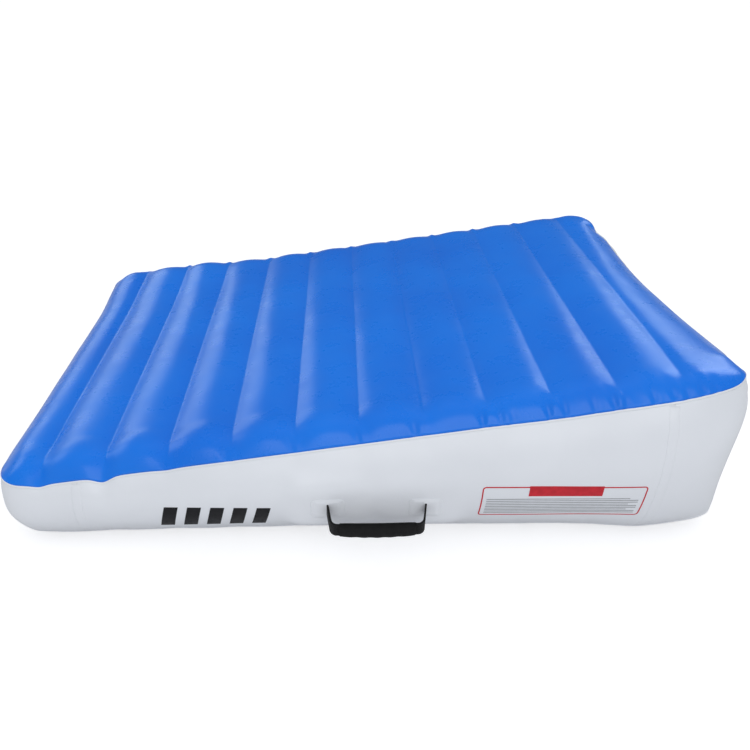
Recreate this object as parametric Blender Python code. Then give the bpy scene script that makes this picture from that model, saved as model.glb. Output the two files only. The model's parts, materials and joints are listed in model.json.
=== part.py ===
"""Inflatable springboard ramp: an air wedge of PVC sheet with transverse webs inside,
a carry handle on each long side and an inflation valve in the tall end wall.

Metres, +Z up.  +X runs along the ramp from the low end to the tall end, Y across it.
The near side is -Y, the far side +Y.
The origin is on the ground under the middle of the bounding box.
"""
import bpy
import bmesh
import math
from mathutils import Vector

# ---- wedge dimensions -----------------------------------------------------------------
PITCH = 0.165            # web spacing
N_WEBS = 11
END_LOW = 0.1155         # low end seam to the first web
END_HIGH = 0.1485        # last web to the tall end seam
HALF_W = 0.637           # half width, seam to seam
X_MID_WEB = -0.0479      # place of the middle web along X
Z_MID_WEB = 0.365        # top sheet height at the middle web
SLOPE = 0.160            # rise of the top sheet per metre
SEAM_DROP = 0.020        # the top seams sit this far under the web line
SEAM_Z = 0.020           # height of the bottom seams
LOBE_LOW, LOBE_HIGH = 0.023, 0.014   # rise of the air tubes over their creases, end to end
BOTTOM_VALLEY = 0.012    # underside crease height
CORNER_X, CORNER_Y = 0.078, 0.078
EAR, EAR_Z = 0.030, 0.012  # the tall end's corners stand out and up, its middle is drawn in
EAR_NEUTRAL = 0.35       # squared share of the half width where the ear changes sign
BULGE = 0.17             # side wall bulge over its height
SHEET_T = 0.0010
SEAM_GAP = 0.0014        # sheets stop this far short of a seam line
LAP_GAP = 0.0004         # wall panels stop this far short of a vertical lap seam

# Distance from an edge over which a sheet rises to its full height
EASE_POWER = 2.2
CREASE_REACH_X, CREASE_REACH_Y = 0.060, 0.052
SWELL_REACH_X, SWELL_REACH_Y = 0.090, 0.115
BOTTOM_REACH_X, BOTTOM_REACH_Y = 0.050, 0.052

# Mesh lines of the sheets
EDGE_STEPS = (0.0, 0.018, 0.046)     # lines inside each edge, before the corner line
HIGH_END_LINE = 0.112                # one more line this far inside the tall end
SIDE_LINE = 0.11                     # the even lines across start this far inside the sides
STEPS_PER_PITCH = 5
STEPS_ACROSS = 6
WALL_ROWS = (0.0, 0.10, 0.25, 0.52, 0.75, 0.90, 1.0)   # share of the wall height
HANDLE_FLAT_Z = {2: 0.112, 3: 0.196}  # wall row: its height behind a handle
VALVE_FLAT_ROWS = (2, 3)             # wall rows drawn flat behind the valve

# Vertical lap seams on the side walls, each on a mesh line
LAP_LOW = X_MID_WEB - 4.4 * PITCH
LAP_HIGH = X_MID_WEB + 4.8 * PITCH

# Webs
WEB_END_GAP = 0.060      # webs stop short of the side walls
WEB_T, FLANGE_HALF, FLANGE_T = 0.0008, 0.012, 0.0008
WELD_GAP = 0.0005        # flange to sheet

# ---- handle dimensions ----------------------------------------------------------------
HANDLE_X = 0.0           # middle of the carry handles
HANDLE_FLAT = 0.200      # half length of the flat wall area behind a handle
HANDLE_WALL_Y = 0.694    # outer face of the wall behind a handle
HANDLE_Z = 0.163
HANDLE_HALF_SPAN = 0.128
AXIS_OUT = 0.0045        # handle hinge axis, out from the wall
REACH = 0.0535           # hinge axis to the webbing's middle
DROP = 0.0175            # the band hangs this far under the hinge axis, its face upright
LEG_LEAN = 0.010         # the legs lean inwards by this over their reach
LEG_STATIONS = (0.0006, 0.010, 0.020, 0.030)           # out from the hinge axis
BEND_R = 0.016
BEND_STEPS = 6
BAND_STATIONS = (-0.085, -0.065, -0.045, -0.022, 0.0)  # along, up to the middle
WEBBING_HALF, WEBBING_T = 0.019, 0.0042
WEBBING_HALF_MIN = 0.0006
TAPER = 0.95             # half height of the webbing per metre out, until full
SAG = 0.003              # the middle of the band hangs lower than its ends
SAG_HALF = 0.112         # half length of the sagging part

GRIP_HALF, GRIP_HEIGHT, GRIP_THICK, GRIP_BELLY = 0.098, 0.0215, 0.0078, 0.0045
GRIP_STEPS, BORE_STEPS, GRIP_SIDES = 16, 8, 16
GRIP_POWER_THICK, GRIP_POWER_HEIGHT = 0.7, 0.55   # below 1 squares the section
GRIP_UNDERSIDE = -0.3    # the section's sine under which it takes belly and scallops
GRIP_END_TAPER, GRIP_END_POWER = 0.05, 8
SCALLOP, N_SCALLOPS = 0.0012, 4
BORE_GAP = 0.0005

TAB_LENGTH, TAB_T = 0.050, 0.0012
TAB_GAP = 0.0004         # strap end and patch edge, out from the wall
PATCH_T = 0.0008
PATCH_HALF_X, PATCH_HALF_Z, PATCH_CORNER = 0.044, 0.031, 0.012
PATCH_STEPS_X, PATCH_STEPS_Z = 12, 8
PATCH_EDGE_PULL = 0.35   # share of a sine spacing, which crowds lines towards the edges
HUMP_HALF_X, HUMP_HALF_Z, HUMP_FALL = 0.028, 0.0215, 0.009

# ---- valve dimensions -----------------------------------------------------------------
VALVE_Y, VALVE_Z = 0.439, 0.200
VALVE_FLAT_HALF = 0.12   # half width of the flat wall area round the valve
VALVE_BULGE_SHARE = 0.93 # share of the full wall bulge at the valve
VALVE_SIDES = 32
MM = 0.001
NECK_RADIUS = 19         # mm
HOLE_GAP = 0.6           # mm, neck to the hole in the wall
HOLE_DEPTH = 0.02
BUTTON_BASE = 6.5        # mm, inner face of the button

SPIDER_INNER, SPIDER_OUTER = -0.009, -0.0065     # faces along the valve's axis
SPIDER_RADII = (0.0028, 0.0052, 0.0125, 0.0147)  # hub bore, hub, rim bore, rim
SPOKES, STEPS_PER_SPOKE = 3, 12
SPOKE_STEPS = (0, 1)     # the steps of each share that the spoke fills

SPRING_TURNS, SPRING_STEPS, WIRE_SIDES = 5, 14, 6
COIL_RADIUS, WIRE_RADIUS, SPRING_GAP = 0.0040, 0.00040, 0.0003

TETHER_HALF_WIDTH, TETHER_HALF_T = 0.0030, 0.0006

# ---- derived places -------------------------------------------------------------------
SLOPE_ANGLE = math.atan(SLOPE)
X_LOW = X_MID_WEB - PITCH * (N_WEBS - 1) / 2 - END_LOW
X_HIGH = X_MID_WEB + PITCH * (N_WEBS - 1) / 2 + END_HIGH
WEB_X = [X_MID_WEB + PITCH * (k - (N_WEBS - 1) / 2) for k in range(N_WEBS)]

# ---- finishes -------------------------------------------------------------------------
WHITE = (0.74, 0.76, 0.80)
BLACK = (0.012, 0.012, 0.013)
SEAL_BLACK = (0.02, 0.02, 0.02)
GREY = (0.10, 0.105, 0.11)

BLUE_SHEET = dict(colour=(0.021, 0.188, 0.716), roughness=0.32)
WHITE_SHEET = dict(colour=WHITE, roughness=0.40)
WEB_SHEET = dict(colour=(0.62, 0.63, 0.64), roughness=0.55)
WEBBING = dict(colour=BLACK, roughness=0.75)
GRIP = dict(colour=(0.015, 0.015, 0.016), roughness=0.6)
VALVE_BODY = dict(colour=GREY, roughness=0.5)
VALVE_FITTING = dict(colour=GREY, roughness=0.55)
TETHER = dict(colour=GREY, roughness=0.6)
SEAL = dict(colour=SEAL_BLACK, roughness=0.8)
STEM = dict(colour=(0.55, 0.56, 0.57), roughness=0.45)
BUTTON = dict(colour=(0.55, 0.03, 0.02), roughness=0.4)
SPRING = dict(colour=(0.6, 0.6, 0.62), roughness=0.3, metallic=1.0)


def material(name, colour, roughness, metallic=0.0):
    mat = bpy.data.materials.new(name)
    mat.use_nodes = True
    shader = mat.node_tree.nodes["Principled BSDF"]
    shader.inputs["Base Color"].default_value = (*colour, 1.0)
    shader.inputs["Roughness"].default_value = roughness
    shader.inputs["Metallic"].default_value = metallic
    mat.diffuse_color = (*colour, 1.0)
    return mat


# ---- objects and modifiers ------------------------------------------------------------
def clear_scene():
    for old in list(bpy.data.objects):
        bpy.data.objects.remove(old, do_unlink=True)


def add_object(name, data=None, parent=None):
    """Link a new object; without data it is an empty."""
    obj = bpy.data.objects.new(name, data)
    bpy.context.scene.collection.objects.link(obj)
    obj.parent = parent
    return obj


def to_mesh(name, bm):
    mesh = bpy.data.meshes.new(name)
    bm.to_mesh(mesh)
    bm.free()
    return mesh


def place(name, bm, finish, parent=None, smooth=None):
    """Turn a bmesh into an object with its own material; smooth is a sharp angle in degrees."""
    bmesh.ops.recalc_face_normals(bm, faces=bm.faces)
    mesh = to_mesh(name, bm)
    mesh.materials.append(material(name, **finish))
    if smooth is not None:
        mesh.shade_smooth()
        mesh.set_sharp_from_angle(angle=math.radians(smooth))
    return add_object(name, mesh, parent)


def boolean_form(name, mesh):
    """A hidden object for a boolean modifier to use."""
    form = add_object(name, mesh)
    form.hide_render = True
    form.display_type = "WIRE"
    return form


def add_boolean(obj, name, operation, form):
    boolean = obj.modifiers.new(name, "BOOLEAN")
    boolean.operation = operation
    boolean.solver = "EXACT"
    boolean.object = form


def add_thickness(obj, name, thickness, offset):
    solid = obj.modifiers.new(name, "SOLIDIFY")
    solid.thickness = thickness
    solid.offset = offset


# ---- mesh building --------------------------------------------------------------------
def skin_grid(bm, grid):
    """Make vertices from rows of points and fill the grid with quads."""
    rows = [[bm.verts.new(point) for point in row] for row in grid]
    for row, above in zip(rows, rows[1:]):
        for quad in zip(row, row[1:], above[1:], above):
            bm.faces.new(quad)


def join_step(bm, first, second, step):
    """One face between two rings of vertices; a ring of one vertex is a tip."""
    after = (step + 1) % max(len(first), len(second))
    if len(first) == 1:
        bm.faces.new((first[0], second[step], second[after]))
    elif len(second) == 1:
        bm.faces.new((first[step], first[after], second[0]))
    else:
        bm.faces.new((first[step], first[after], second[after], second[step]))


def join_rings(bm, rings, closed=False):
    """Join each ring to the next, and the last to the first if closed."""
    following = rings[1:] + (rings[:1] if closed else [])
    for first, second in zip(rings, following):
        for step in range(max(len(first), len(second))):
            join_step(bm, first, second, step)


def join_rod(bm, rings):
    """Join the rings and cap both ends."""
    join_rings(bm, rings)
    bm.faces.new(rings[0])
    bm.faces.new(rings[-1])


def square_to_disc(u, v):
    """Map the unit square onto the unit disc."""
    return u * math.sqrt(1 - v * v / 2), v * math.sqrt(1 - u * u / 2)


# ---- the air wedge's surface ----------------------------------------------------------
def web_plane(x):
    return Z_MID_WEB + SLOPE * (x - X_MID_WEB)


def tube_phase(x):
    """0 on a web or an end seam, 1 half way between them."""
    stops = [X_LOW] + WEB_X + [X_HIGH]
    for start, stop in zip(stops, stops[1:]):
        if x <= stop + 1e-9:
            share = (x - start) / (stop - start)
            return max(0.0, 4 * share * (1 - share))
    return 0.0


def ease(distance, reach):
    return 1 - (1 - min(max(distance / reach, 0.0), 1.0)) ** EASE_POWER


def edge_distances(x, y):
    """Distance to the nearer end and to the nearer side."""
    return min(x - X_LOW, X_HIGH - x), HALF_W - abs(y)


def outline(x, y):
    """Round the corners of the rectangle: corner blocks map onto quarter ellipses."""
    past_x = x - (X_HIGH - CORNER_X) if x > 0 else (X_LOW + CORNER_X) - x
    past_y = abs(y) - (HALF_W - CORNER_Y)
    if past_x <= 1e-9 or past_y <= 1e-9:
        return x, y
    u, v = square_to_disc(past_x / CORNER_X, past_y / CORNER_Y)
    plan_x = X_HIGH - CORNER_X + CORNER_X * u if x > 0 else X_LOW + CORNER_X - CORNER_X * u
    return plan_x, math.copysign(HALF_W - CORNER_Y + CORNER_Y * v, y)


def ear(plan_x, plan_y):
    """Share of the ear: grows from the last web to the tall end and towards the sides."""
    share = min(1.0, max(0.0, (plan_x - WEB_X[-1]) / (X_HIGH - WEB_X[-1])))
    across = min(1.0, abs(plan_y) / HALF_W) ** 2 - EAR_NEUTRAL
    return share * share * (3 - 2 * share) * across


def top_seam_z(plan_x, plan_y):
    return web_plane(plan_x) - SEAM_DROP + EAR_Z * ear(plan_x, plan_y)


def lobe(x):
    return LOBE_LOW + (LOBE_HIGH - LOBE_LOW) * (x - X_LOW) / (X_HIGH - X_LOW)


def top_point(x, y):
    plan_x, plan_y = outline(x, y)
    to_end, to_side = edge_distances(x, y)
    crease = ease(to_side, CREASE_REACH_Y) * ease(to_end, CREASE_REACH_X)
    swell = ease(to_side, SWELL_REACH_Y) * ease(to_end, SWELL_REACH_X)
    z = top_seam_z(plan_x, plan_y) + SEAM_DROP * crease + lobe(x) * tube_phase(x) * swell
    return Vector((plan_x + EAR * ear(plan_x, plan_y), plan_y, z))


def bottom_point(x, y):
    plan_x, plan_y = outline(x, y)
    to_end, to_side = edge_distances(x, y)
    crease_z = max(0.0, BOTTOM_VALLEY * (1 - 2 * tube_phase(x)))
    inside = ease(to_side, BOTTOM_REACH_Y) * ease(to_end, BOTTOM_REACH_X)
    z = SEAM_Z * (1 - inside) + crease_z * inside
    return Vector((plan_x + EAR / 2 * ear(plan_x, plan_y), plan_y, z))


def subdivide(stops, count):
    """The stops with each interval cut into count equal steps."""
    out = [stops[0]]
    for a, b in zip(stops, stops[1:]):
        out += [a + (b - a) * i / count for i in range(1, count + 1)]
    return out


end_steps = (*EDGE_STEPS, CORNER_X)
x_lines = ([X_LOW + step for step in end_steps]
           + subdivide(WEB_X, STEPS_PER_PITCH)
           + [X_HIGH - HIGH_END_LINE]
           + [X_HIGH - step for step in reversed(end_steps)])
side_lines = [HALF_W - step for step in (*EDGE_STEPS, CORNER_Y)]
y_lines = ([-y for y in side_lines]
           + subdivide([-(HALF_W - SIDE_LINE), HALF_W - SIDE_LINE], STEPS_ACROSS)
           + side_lines[::-1])
LAST_X, LAST_Y = len(x_lines) - 1, len(y_lines) - 1

# The grid's edge, counter-clockwise from above, starting at the low near corner
rim = ([(i, 0) for i in range(LAST_X + 1)]
       + [(LAST_X, j) for j in range(1, LAST_Y + 1)]
       + [(i, LAST_Y) for i in range(LAST_X - 1, -1, -1)]
       + [(0, j) for j in range(LAST_Y - 1, 0, -1)])
rim_plan = [outline(x_lines[i], y_lines[j]) for i, j in rim]

VALVE_WALL_X = X_HIGH + BULGE * (top_seam_z(X_HIGH, VALVE_Y) - SEAM_Z) * VALVE_BULGE_SHARE


def wall_point(column, row):
    """Point on the side wall at a rim column and a row of WALL_ROWS."""
    share = WALL_ROWS[row]
    x, y = rim_plan[column]
    before_x, before_y = rim_plan[column - 1]
    after_x, after_y = rim_plan[(column + 1) % len(rim)]
    outward = Vector((after_y - before_y, before_x - after_x)).normalized()
    height = top_seam_z(x, y) - SEAM_Z
    bulge = BULGE * height * 4 * share * (1 - share)
    stand = EAR * ear(x, y) * (0.5 + 0.5 * share)
    point = Vector((x + stand + outward.x * bulge, y + outward.y * bulge,
                    SEAM_Z + height * share))
    i, j = rim[column]
    if j in (0, LAST_Y) and abs(x - HANDLE_X) <= HANDLE_FLAT and row in HANDLE_FLAT_Z:
        point = Vector((x, math.copysign(HANDLE_WALL_Y, y), HANDLE_FLAT_Z[row]))
    # A mesh line falls on the upper limit, so rounding decides it: keep this form of the test
    by_valve = VALVE_Y - VALVE_FLAT_HALF < y < VALVE_Y + VALVE_FLAT_HALF
    if i == LAST_X and by_valve and row in VALVE_FLAT_ROWS:
        point.x = VALVE_WALL_X
    return point


# ---- PVC sheets -----------------------------------------------------------------------
def pull_back(row, gap):
    """Shorten a line of points at both ends."""
    row = [point.copy() for point in row]
    row[0] = row[0] + (row[1] - row[0]).normalized() * gap
    row[-1] = row[-1] + (row[-2] - row[-1]).normalized() * gap
    return row


def trimmed(grid, row_gap, column_gap):
    rows = [pull_back(row, row_gap) for row in grid]
    columns = [pull_back(column, column_gap) for column in zip(*rows)]
    return list(zip(*columns))


def sheet(name, grid, finish):
    """A sheet of PVC: an open surface grid, outer side out, given its thickness inwards."""
    bm = bmesh.new()
    skin_grid(bm, grid)
    mesh = to_mesh(name, bm)
    mesh.materials.append(material(name, **finish))
    mesh.shade_smooth()
    obj = add_object(name, mesh)
    add_thickness(obj, "thickness", SHEET_T, offset=-1.0)
    return obj


def top_and_bottom_panels():
    top = [[top_point(x, y) for x in x_lines] for y in y_lines]
    sheet("top_panel", trimmed(top, SEAM_GAP, SEAM_GAP), BLUE_SHEET)
    bottom = [[bottom_point(x, y) for x in x_lines] for y in reversed(y_lines)]
    sheet("bottom_panel", trimmed(bottom, SEAM_GAP, SEAM_GAP), WHITE_SHEET)


def wall_panel(name, start, stop):
    """A wall sheet along the rim between two of its grid places."""
    first = rim.index(start)
    steps = (rim.index(stop) - first) % len(rim)
    columns = [(first + k) % len(rim) for k in range(steps + 1)]
    grid = [[wall_point(column, row) for column in columns] for row in range(len(WALL_ROWS))]
    return sheet(name, trimmed(grid, LAP_GAP, SEAM_GAP), WHITE_SHEET)


def nearest_line(x):
    return min(range(len(x_lines)), key=lambda i: abs(x_lines[i] - x))


def wall_panels():
    """The four wall sheets; returns the tall end's."""
    low, high = nearest_line(LAP_LOW), nearest_line(LAP_HIGH)
    near_low, near_high = (low, 0), (high, 0)
    far_low, far_high = (low, LAST_Y), (high, LAST_Y)
    wall_panel("near_side_wall", near_low, near_high)
    high_wall = wall_panel("high_end_wall", near_high, far_high)
    wall_panel("far_side_wall", far_high, far_low)
    wall_panel("low_end_wall", far_low, near_low)
    return high_wall


# ---- webs: one under each crease, with a weld flange top and bottom -------------------
def web(name, x):
    half = WEB_T / 2
    z_top = web_plane(x) - SHEET_T - WELD_GAP
    z_bottom = BOTTOM_VALLEY + SHEET_T + WELD_GAP
    z_flange = z_bottom + FLANGE_T
    cos_slope, sin_slope = math.cos(SLOPE_ANGLE), math.sin(SLOPE_ANGLE)
    upright_t = FLANGE_T / cos_slope     # the top flange's thickness measured upright

    def top(along, under):
        """A point of the top flange, in the slope's own directions."""
        return (x + cos_slope * along + sin_slope * under,
                z_top + sin_slope * along - cos_slope * under)

    profile = [
        (x - FLANGE_HALF, z_bottom),
        (x + FLANGE_HALF, z_bottom),
        (x + FLANGE_HALF, z_flange),
        (x + half, z_flange),
        (x + half, z_top + SLOPE * half - upright_t),
        top(FLANGE_HALF, FLANGE_T),
        top(FLANGE_HALF, 0),
        top(-FLANGE_HALF, 0),
        top(-FLANGE_HALF, FLANGE_T),
        (x - half, z_top - SLOPE * half - upright_t),
        (x - half, z_flange),
        (x - FLANGE_HALF, z_flange),
    ]
    bm = bmesh.new()
    half_length = HALF_W - WEB_END_GAP
    face = bm.faces.new([bm.verts.new((px, -half_length, pz)) for px, pz in profile])
    grown = bmesh.ops.extrude_face_region(bm, geom=[face])
    moved = [item for item in grown["geom"] if isinstance(item, bmesh.types.BMVert)]
    bmesh.ops.translate(bm, verts=moved, vec=(0, 2 * half_length, 0))
    place(name, bm, WEB_SHEET)


# ---- carry handles --------------------------------------------------------------------
# In the pivot's frame X is the hinge axis, -Y points out along the legs, Z is up the band.
def strap_path():
    """The webbing's middle line in the handle's own plane: (along, out) from the hinge axis."""
    leg = math.hypot(LEG_LEAN, REACH)
    leg_along, leg_out = LEG_LEAN / leg, REACH / leg
    turn = math.atan2(REACH, LEG_LEAN)
    setback = BEND_R * math.tan(turn / 2)
    path = [(-HANDLE_HALF_SPAN + LEG_LEAN * out / REACH, out) for out in LEG_STATIONS]
    # the bend's centre lies on the inner side of the leg, one radius off it
    centre_along = -HANDLE_HALF_SPAN + LEG_LEAN - leg_along * setback + leg_out * BEND_R
    centre_out = REACH - BEND_R
    for k in range(BEND_STEPS + 1):
        angle = math.pi / 2 + turn * (1 - k / BEND_STEPS)
        path.append((centre_along + BEND_R * math.cos(angle),
                     centre_out + BEND_R * math.sin(angle)))
    path += [(along, REACH) for along in BAND_STATIONS]
    return path + [(-along, out) for along, out in reversed(path[:-1])]


def strap_half_height(out):
    return min(WEBBING_HALF, max(WEBBING_HALF_MIN, TAPER * out))


def sag(along, out):
    """How far the webbing's middle line hangs under the hinge axis."""
    return (DROP + SAG * max(0.0, 1 - (along / SAG_HALF) ** 2)) * min(1.0, out / REACH)


def handle_strap(prefix, pivot):
    path = strap_path()
    bm = bmesh.new()
    skin_grid(bm, [[(x, -out, level * strap_half_height(out) - sag(x, out)) for x, out in path]
                   for level in (-1, 0, 1)])
    strap = place(prefix + "_strap", bm, WEBBING, parent=pivot)
    add_thickness(strap, "webbing", WEBBING_T, offset=0.0)


def signed_power(value, power):
    return math.copysign(abs(value) ** power, value) if abs(value) > 1e-6 else 0.0


def grip_ring(bm, x, section):
    """A ring round the webbing at x; section gives (out, up) for an angle's cosine and sine."""
    ring = []
    for q in range(GRIP_SIDES):
        angle = 2 * math.pi * q / GRIP_SIDES
        out, up = section(math.cos(angle), math.sin(angle))
        ring.append(bm.verts.new((x, -(REACH + out), up - sag(x, REACH))))
    return ring


def grip_shell(bm, share):
    """Outer ring of the sleeve at a share of its length."""
    x = -GRIP_HALF + 2 * GRIP_HALF * share
    size = 1 - GRIP_END_TAPER * abs(2 * share - 1) ** GRIP_END_POWER
    scallop = SCALLOP * math.cos(2 * math.pi * N_SCALLOPS * share)
    belly = GRIP_BELLY * (1 - (x / GRIP_HALF) ** 2)

    def section(cos_a, sin_a):
        out = signed_power(cos_a, GRIP_POWER_THICK) * GRIP_THICK * size
        up = signed_power(sin_a, GRIP_POWER_HEIGHT) * GRIP_HEIGHT * size
        if sin_a < GRIP_UNDERSIDE:
            up += (scallop - belly) * (-sin_a)
        return out, up

    return grip_ring(bm, x, section)


def grip_bore(bm, x):
    """Rectangular inner ring, just clear of the webbing."""
    half_out, half_up = WEBBING_T / 2 + BORE_GAP, WEBBING_HALF + BORE_GAP

    def section(cos_a, sin_a):
        scale = 1.0 / max(abs(cos_a), abs(sin_a))
        return half_out * cos_a * scale, half_up * sin_a * scale

    return grip_ring(bm, x, section)


def handle_grip(prefix, pivot):
    """A flattened tube around the webbing with finger scallops underneath."""
    bm = bmesh.new()
    shells = [grip_shell(bm, s / GRIP_STEPS) for s in range(GRIP_STEPS + 1)]
    bores = [grip_bore(bm, -GRIP_HALF + 2 * GRIP_HALF * s / BORE_STEPS)
             for s in range(BORE_STEPS + 1)]
    join_rings(bm, shells + bores[::-1], closed=True)
    place(prefix + "_grip", bm, GRIP, parent=pivot, smooth=50)


def strap_end(name, centre_x, wall):
    """Sewn strap end, flat on the wall under its anchor patch."""
    bm = bmesh.new()
    bmesh.ops.create_cube(bm, size=1.0)
    bmesh.ops.scale(bm, verts=bm.verts, vec=(TAB_LENGTH, TAB_T, 2 * WEBBING_HALF))
    bmesh.ops.translate(bm, verts=bm.verts, vec=(centre_x, -(TAB_GAP + TAB_T / 2), 0))
    place(name, bm, WEBBING, parent=wall)


def patch_line(step, steps):
    """Place of a patch line from -1 to 1, crowded towards the edges."""
    even = 2 * step / steps - 1
    return math.sin(even * math.pi / 2) * PATCH_EDGE_PULL + even * (1 - PATCH_EDGE_PULL)


def patch_point(centre_x, x, z):
    corner = PATCH_CORNER
    past_x = abs(x) - (PATCH_HALF_X - corner)
    past_z = abs(z) - (PATCH_HALF_Z - corner)
    if past_x > 0 and past_z > 0:
        u, v = square_to_disc(past_x / corner, past_z / corner)
        x = math.copysign(PATCH_HALF_X - corner + corner * u, x)
        z = math.copysign(PATCH_HALF_Z - corner + corner * v, z)
    beyond = math.hypot(max(0.0, abs(x) - HUMP_HALF_X), max(0.0, abs(z) - HUMP_HALF_Z))
    fall = min(1.0, beyond / HUMP_FALL)
    hump = (1 + math.cos(math.pi * fall)) / 2 * (TAB_T + TAB_GAP)
    return centre_x + x, -(TAB_GAP + hump), z


def anchor_patch(name, centre_x, wall):
    """A rounded rectangle that humps over the strap end."""
    bm = bmesh.new()
    skin_grid(bm, [[patch_point(centre_x, patch_line(u, PATCH_STEPS_X) * PATCH_HALF_X,
                                patch_line(v, PATCH_STEPS_Z) * PATCH_HALF_Z)
                    for u in range(PATCH_STEPS_X + 1)]
                   for v in range(PATCH_STEPS_Z + 1)])
    patch = place(name, bm, WHITE_SHEET, parent=wall)
    # an open sheet's normals may face either way; the thickness always goes outwards
    faces_out = patch.data.polygons[0].normal.y < 0
    add_thickness(patch, "thickness", PATCH_T, offset=1.0 if faces_out else -1.0)


def handle(prefix, side):
    """One carry handle.  side is -1 on the near long side and +1 on the far one."""
    wall = add_object(prefix + "_wall")
    wall.location = (HANDLE_X, side * HANDLE_WALL_Y, HANDLE_Z)
    wall.rotation_euler = (0, 0, 0.0 if side < 0 else math.pi)
    pivot = add_object(prefix + "_pivot", parent=wall)
    pivot.location = (0, -AXIS_OUT, 0)
    handle_strap(prefix, pivot)
    handle_grip(prefix, pivot)
    for tag, end in (("left", -1), ("right", 1)):
        strap_end(prefix + "_strap_end_" + tag, end * HANDLE_HALF_SPAN, wall)
        anchor_patch(prefix + "_patch_" + tag, end * HANDLE_HALF_SPAN, wall)


# ---- inflation valve ------------------------------------------------------------------
# In the valve's frame +X points out of the wall along the valve's axis.
def knurl(depth, beyond):
    """Alternate steps in and out on every ring wider than beyond."""
    return lambda radius, step: (depth if step % 2 else -depth) if radius > beyond else 0.0


def button_notches(radius, step):
    """Two opposite notches in the button's edge."""
    return -0.0022 if step % 16 in (6, 7, 8, 9, 10) and radius > 0.004 else 0.0


# name, finish, ripple of the radius, profile as (out, radius) points in mm
TURNED_PIECES = (
    ("valve_base", VALVE_BODY, None,
     ((-18, 11), (-18, NECK_RADIUS), (-7.0, NECK_RADIUS), (-7.0, 30), (-4.0, 30),
      (-4.0, NECK_RADIUS), (11.4, NECK_RADIUS), (12, 18.4), (12, 15.6), (11.4, 15),
      (-15.5, 15), (-15.5, 11))),
    ("valve_gasket", SEAL, None,
     ((-3.7, 21), (-3.7, 29), (-1.4, 29), (-1.4, 21))),
    ("valve_collar", VALVE_BODY, knurl(depth=0.0006, beyond=0.0305),
     ((0.4, 19.4), (0.4, 31), (1.6, 31.6), (3.0, 30.6), (4.3, 27.5), (4.3, 19.4))),
    ("valve_stem", STEM, None,
     ((-21.6, 0), (-21.6, 12.6), (-20.8, 13.6), (-18.5, 13.6), (-18.4, 4.2),
      (-16.5, 2.4), (6.1, 2.4), (6.1, 0))),
    ("valve_button", BUTTON, button_notches,
     ((BUTTON_BASE, 0), (BUTTON_BASE, 5.6), (8.8, 5.6), (9.6, 4.6), (9.6, 0))),
    ("valve_cap_ring", VALVE_FITTING, None,
     ((6.8, 22.9), (6.8, 25.2), (8.7, 25.2), (8.7, 22.9))),
    ("valve_cap", VALVE_BODY, knurl(depth=0.0005, beyond=0.0252),
     ((16.2, 0), (16.2, 23.5), (15.2, 25.6), (9.1, 25.6), (9.1, 22.5), (6.5, 22.5),
      (6.5, 19.4), (13.7, 19.4), (13.7, 0))),
    ("valve_cap_seal", SEAL, None,
     ((12.3, 15.2), (12.3, 19.0), (13.4, 19.0), (13.4, 15.2))),
)
TETHER_RING = ((4.7, 19.4), (4.7, 23.4), (6.1, 23.4), (6.1, 19.4))   # (out, radius), mm
# Middle line of the tether's strap, (out, distance below the axis), mm
TETHER_PATH = ((5.4, 22.6), (5.4, 26.5), (5.6, 30.5), (6.6, 32.2), (7.6, 30.8),
               (7.75, 27.5), (7.75, 25.6))


def axis_ring(bm, out, radius, count, ripple=None):
    """A ring of vertices about the valve's axis."""
    ring = []
    for step in range(count):
        angle = 2 * math.pi * step / count
        rippled = radius + (ripple(radius, step) if ripple else 0.0)
        ring.append(bm.verts.new((out, rippled * math.cos(angle), rippled * math.sin(angle))))
    return ring


def turned(name, finish, ripple, profile, valve):
    """Revolve a profile about the valve's axis.  Radius 0 closes on the axis."""
    bm = bmesh.new()
    rings = []
    for out, radius in profile:
        if radius == 0:
            rings.append([bm.verts.new((out * MM, 0, 0))])
        else:
            rings.append(axis_ring(bm, out * MM, radius * MM, VALVE_SIDES, ripple))
    join_rings(bm, rings, closed=len(rings[0]) > 1)
    return place(name, bm, finish, parent=valve, smooth=35)


def valve_spider(valve):
    """The stem's guide: a hub and a rim joined by three spokes."""
    bm = bmesh.new()
    count = SPOKES * STEPS_PER_SPOKE
    inner, outer = [[axis_ring(bm, out, radius, count) for radius in SPIDER_RADII]
                    for out in (SPIDER_INNER, SPIDER_OUTER)]

    def in_spoke(step):
        return step % STEPS_PER_SPOKE in SPOKE_STEPS

    for step in range(count):
        after = (step + 1) % count
        for layer in (inner, outer):
            join_step(bm, layer[0], layer[1], step)
            join_step(bm, layer[2], layer[3], step)
            if in_spoke(step):
                join_step(bm, layer[1], layer[2], step)
        # upright walls: hub bore and rim, then the hub and rim faces between spokes
        for k in (0, 3) if in_spoke(step) else (0, 3, 1, 2):
            join_step(bm, inner[k], outer[k], step)
        if in_spoke(step) != in_spoke(after):
            bm.faces.new((inner[1][after], inner[2][after], outer[2][after], outer[1][after]))
    place("valve_spider", bm, VALVE_FITTING, parent=valve)


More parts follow.
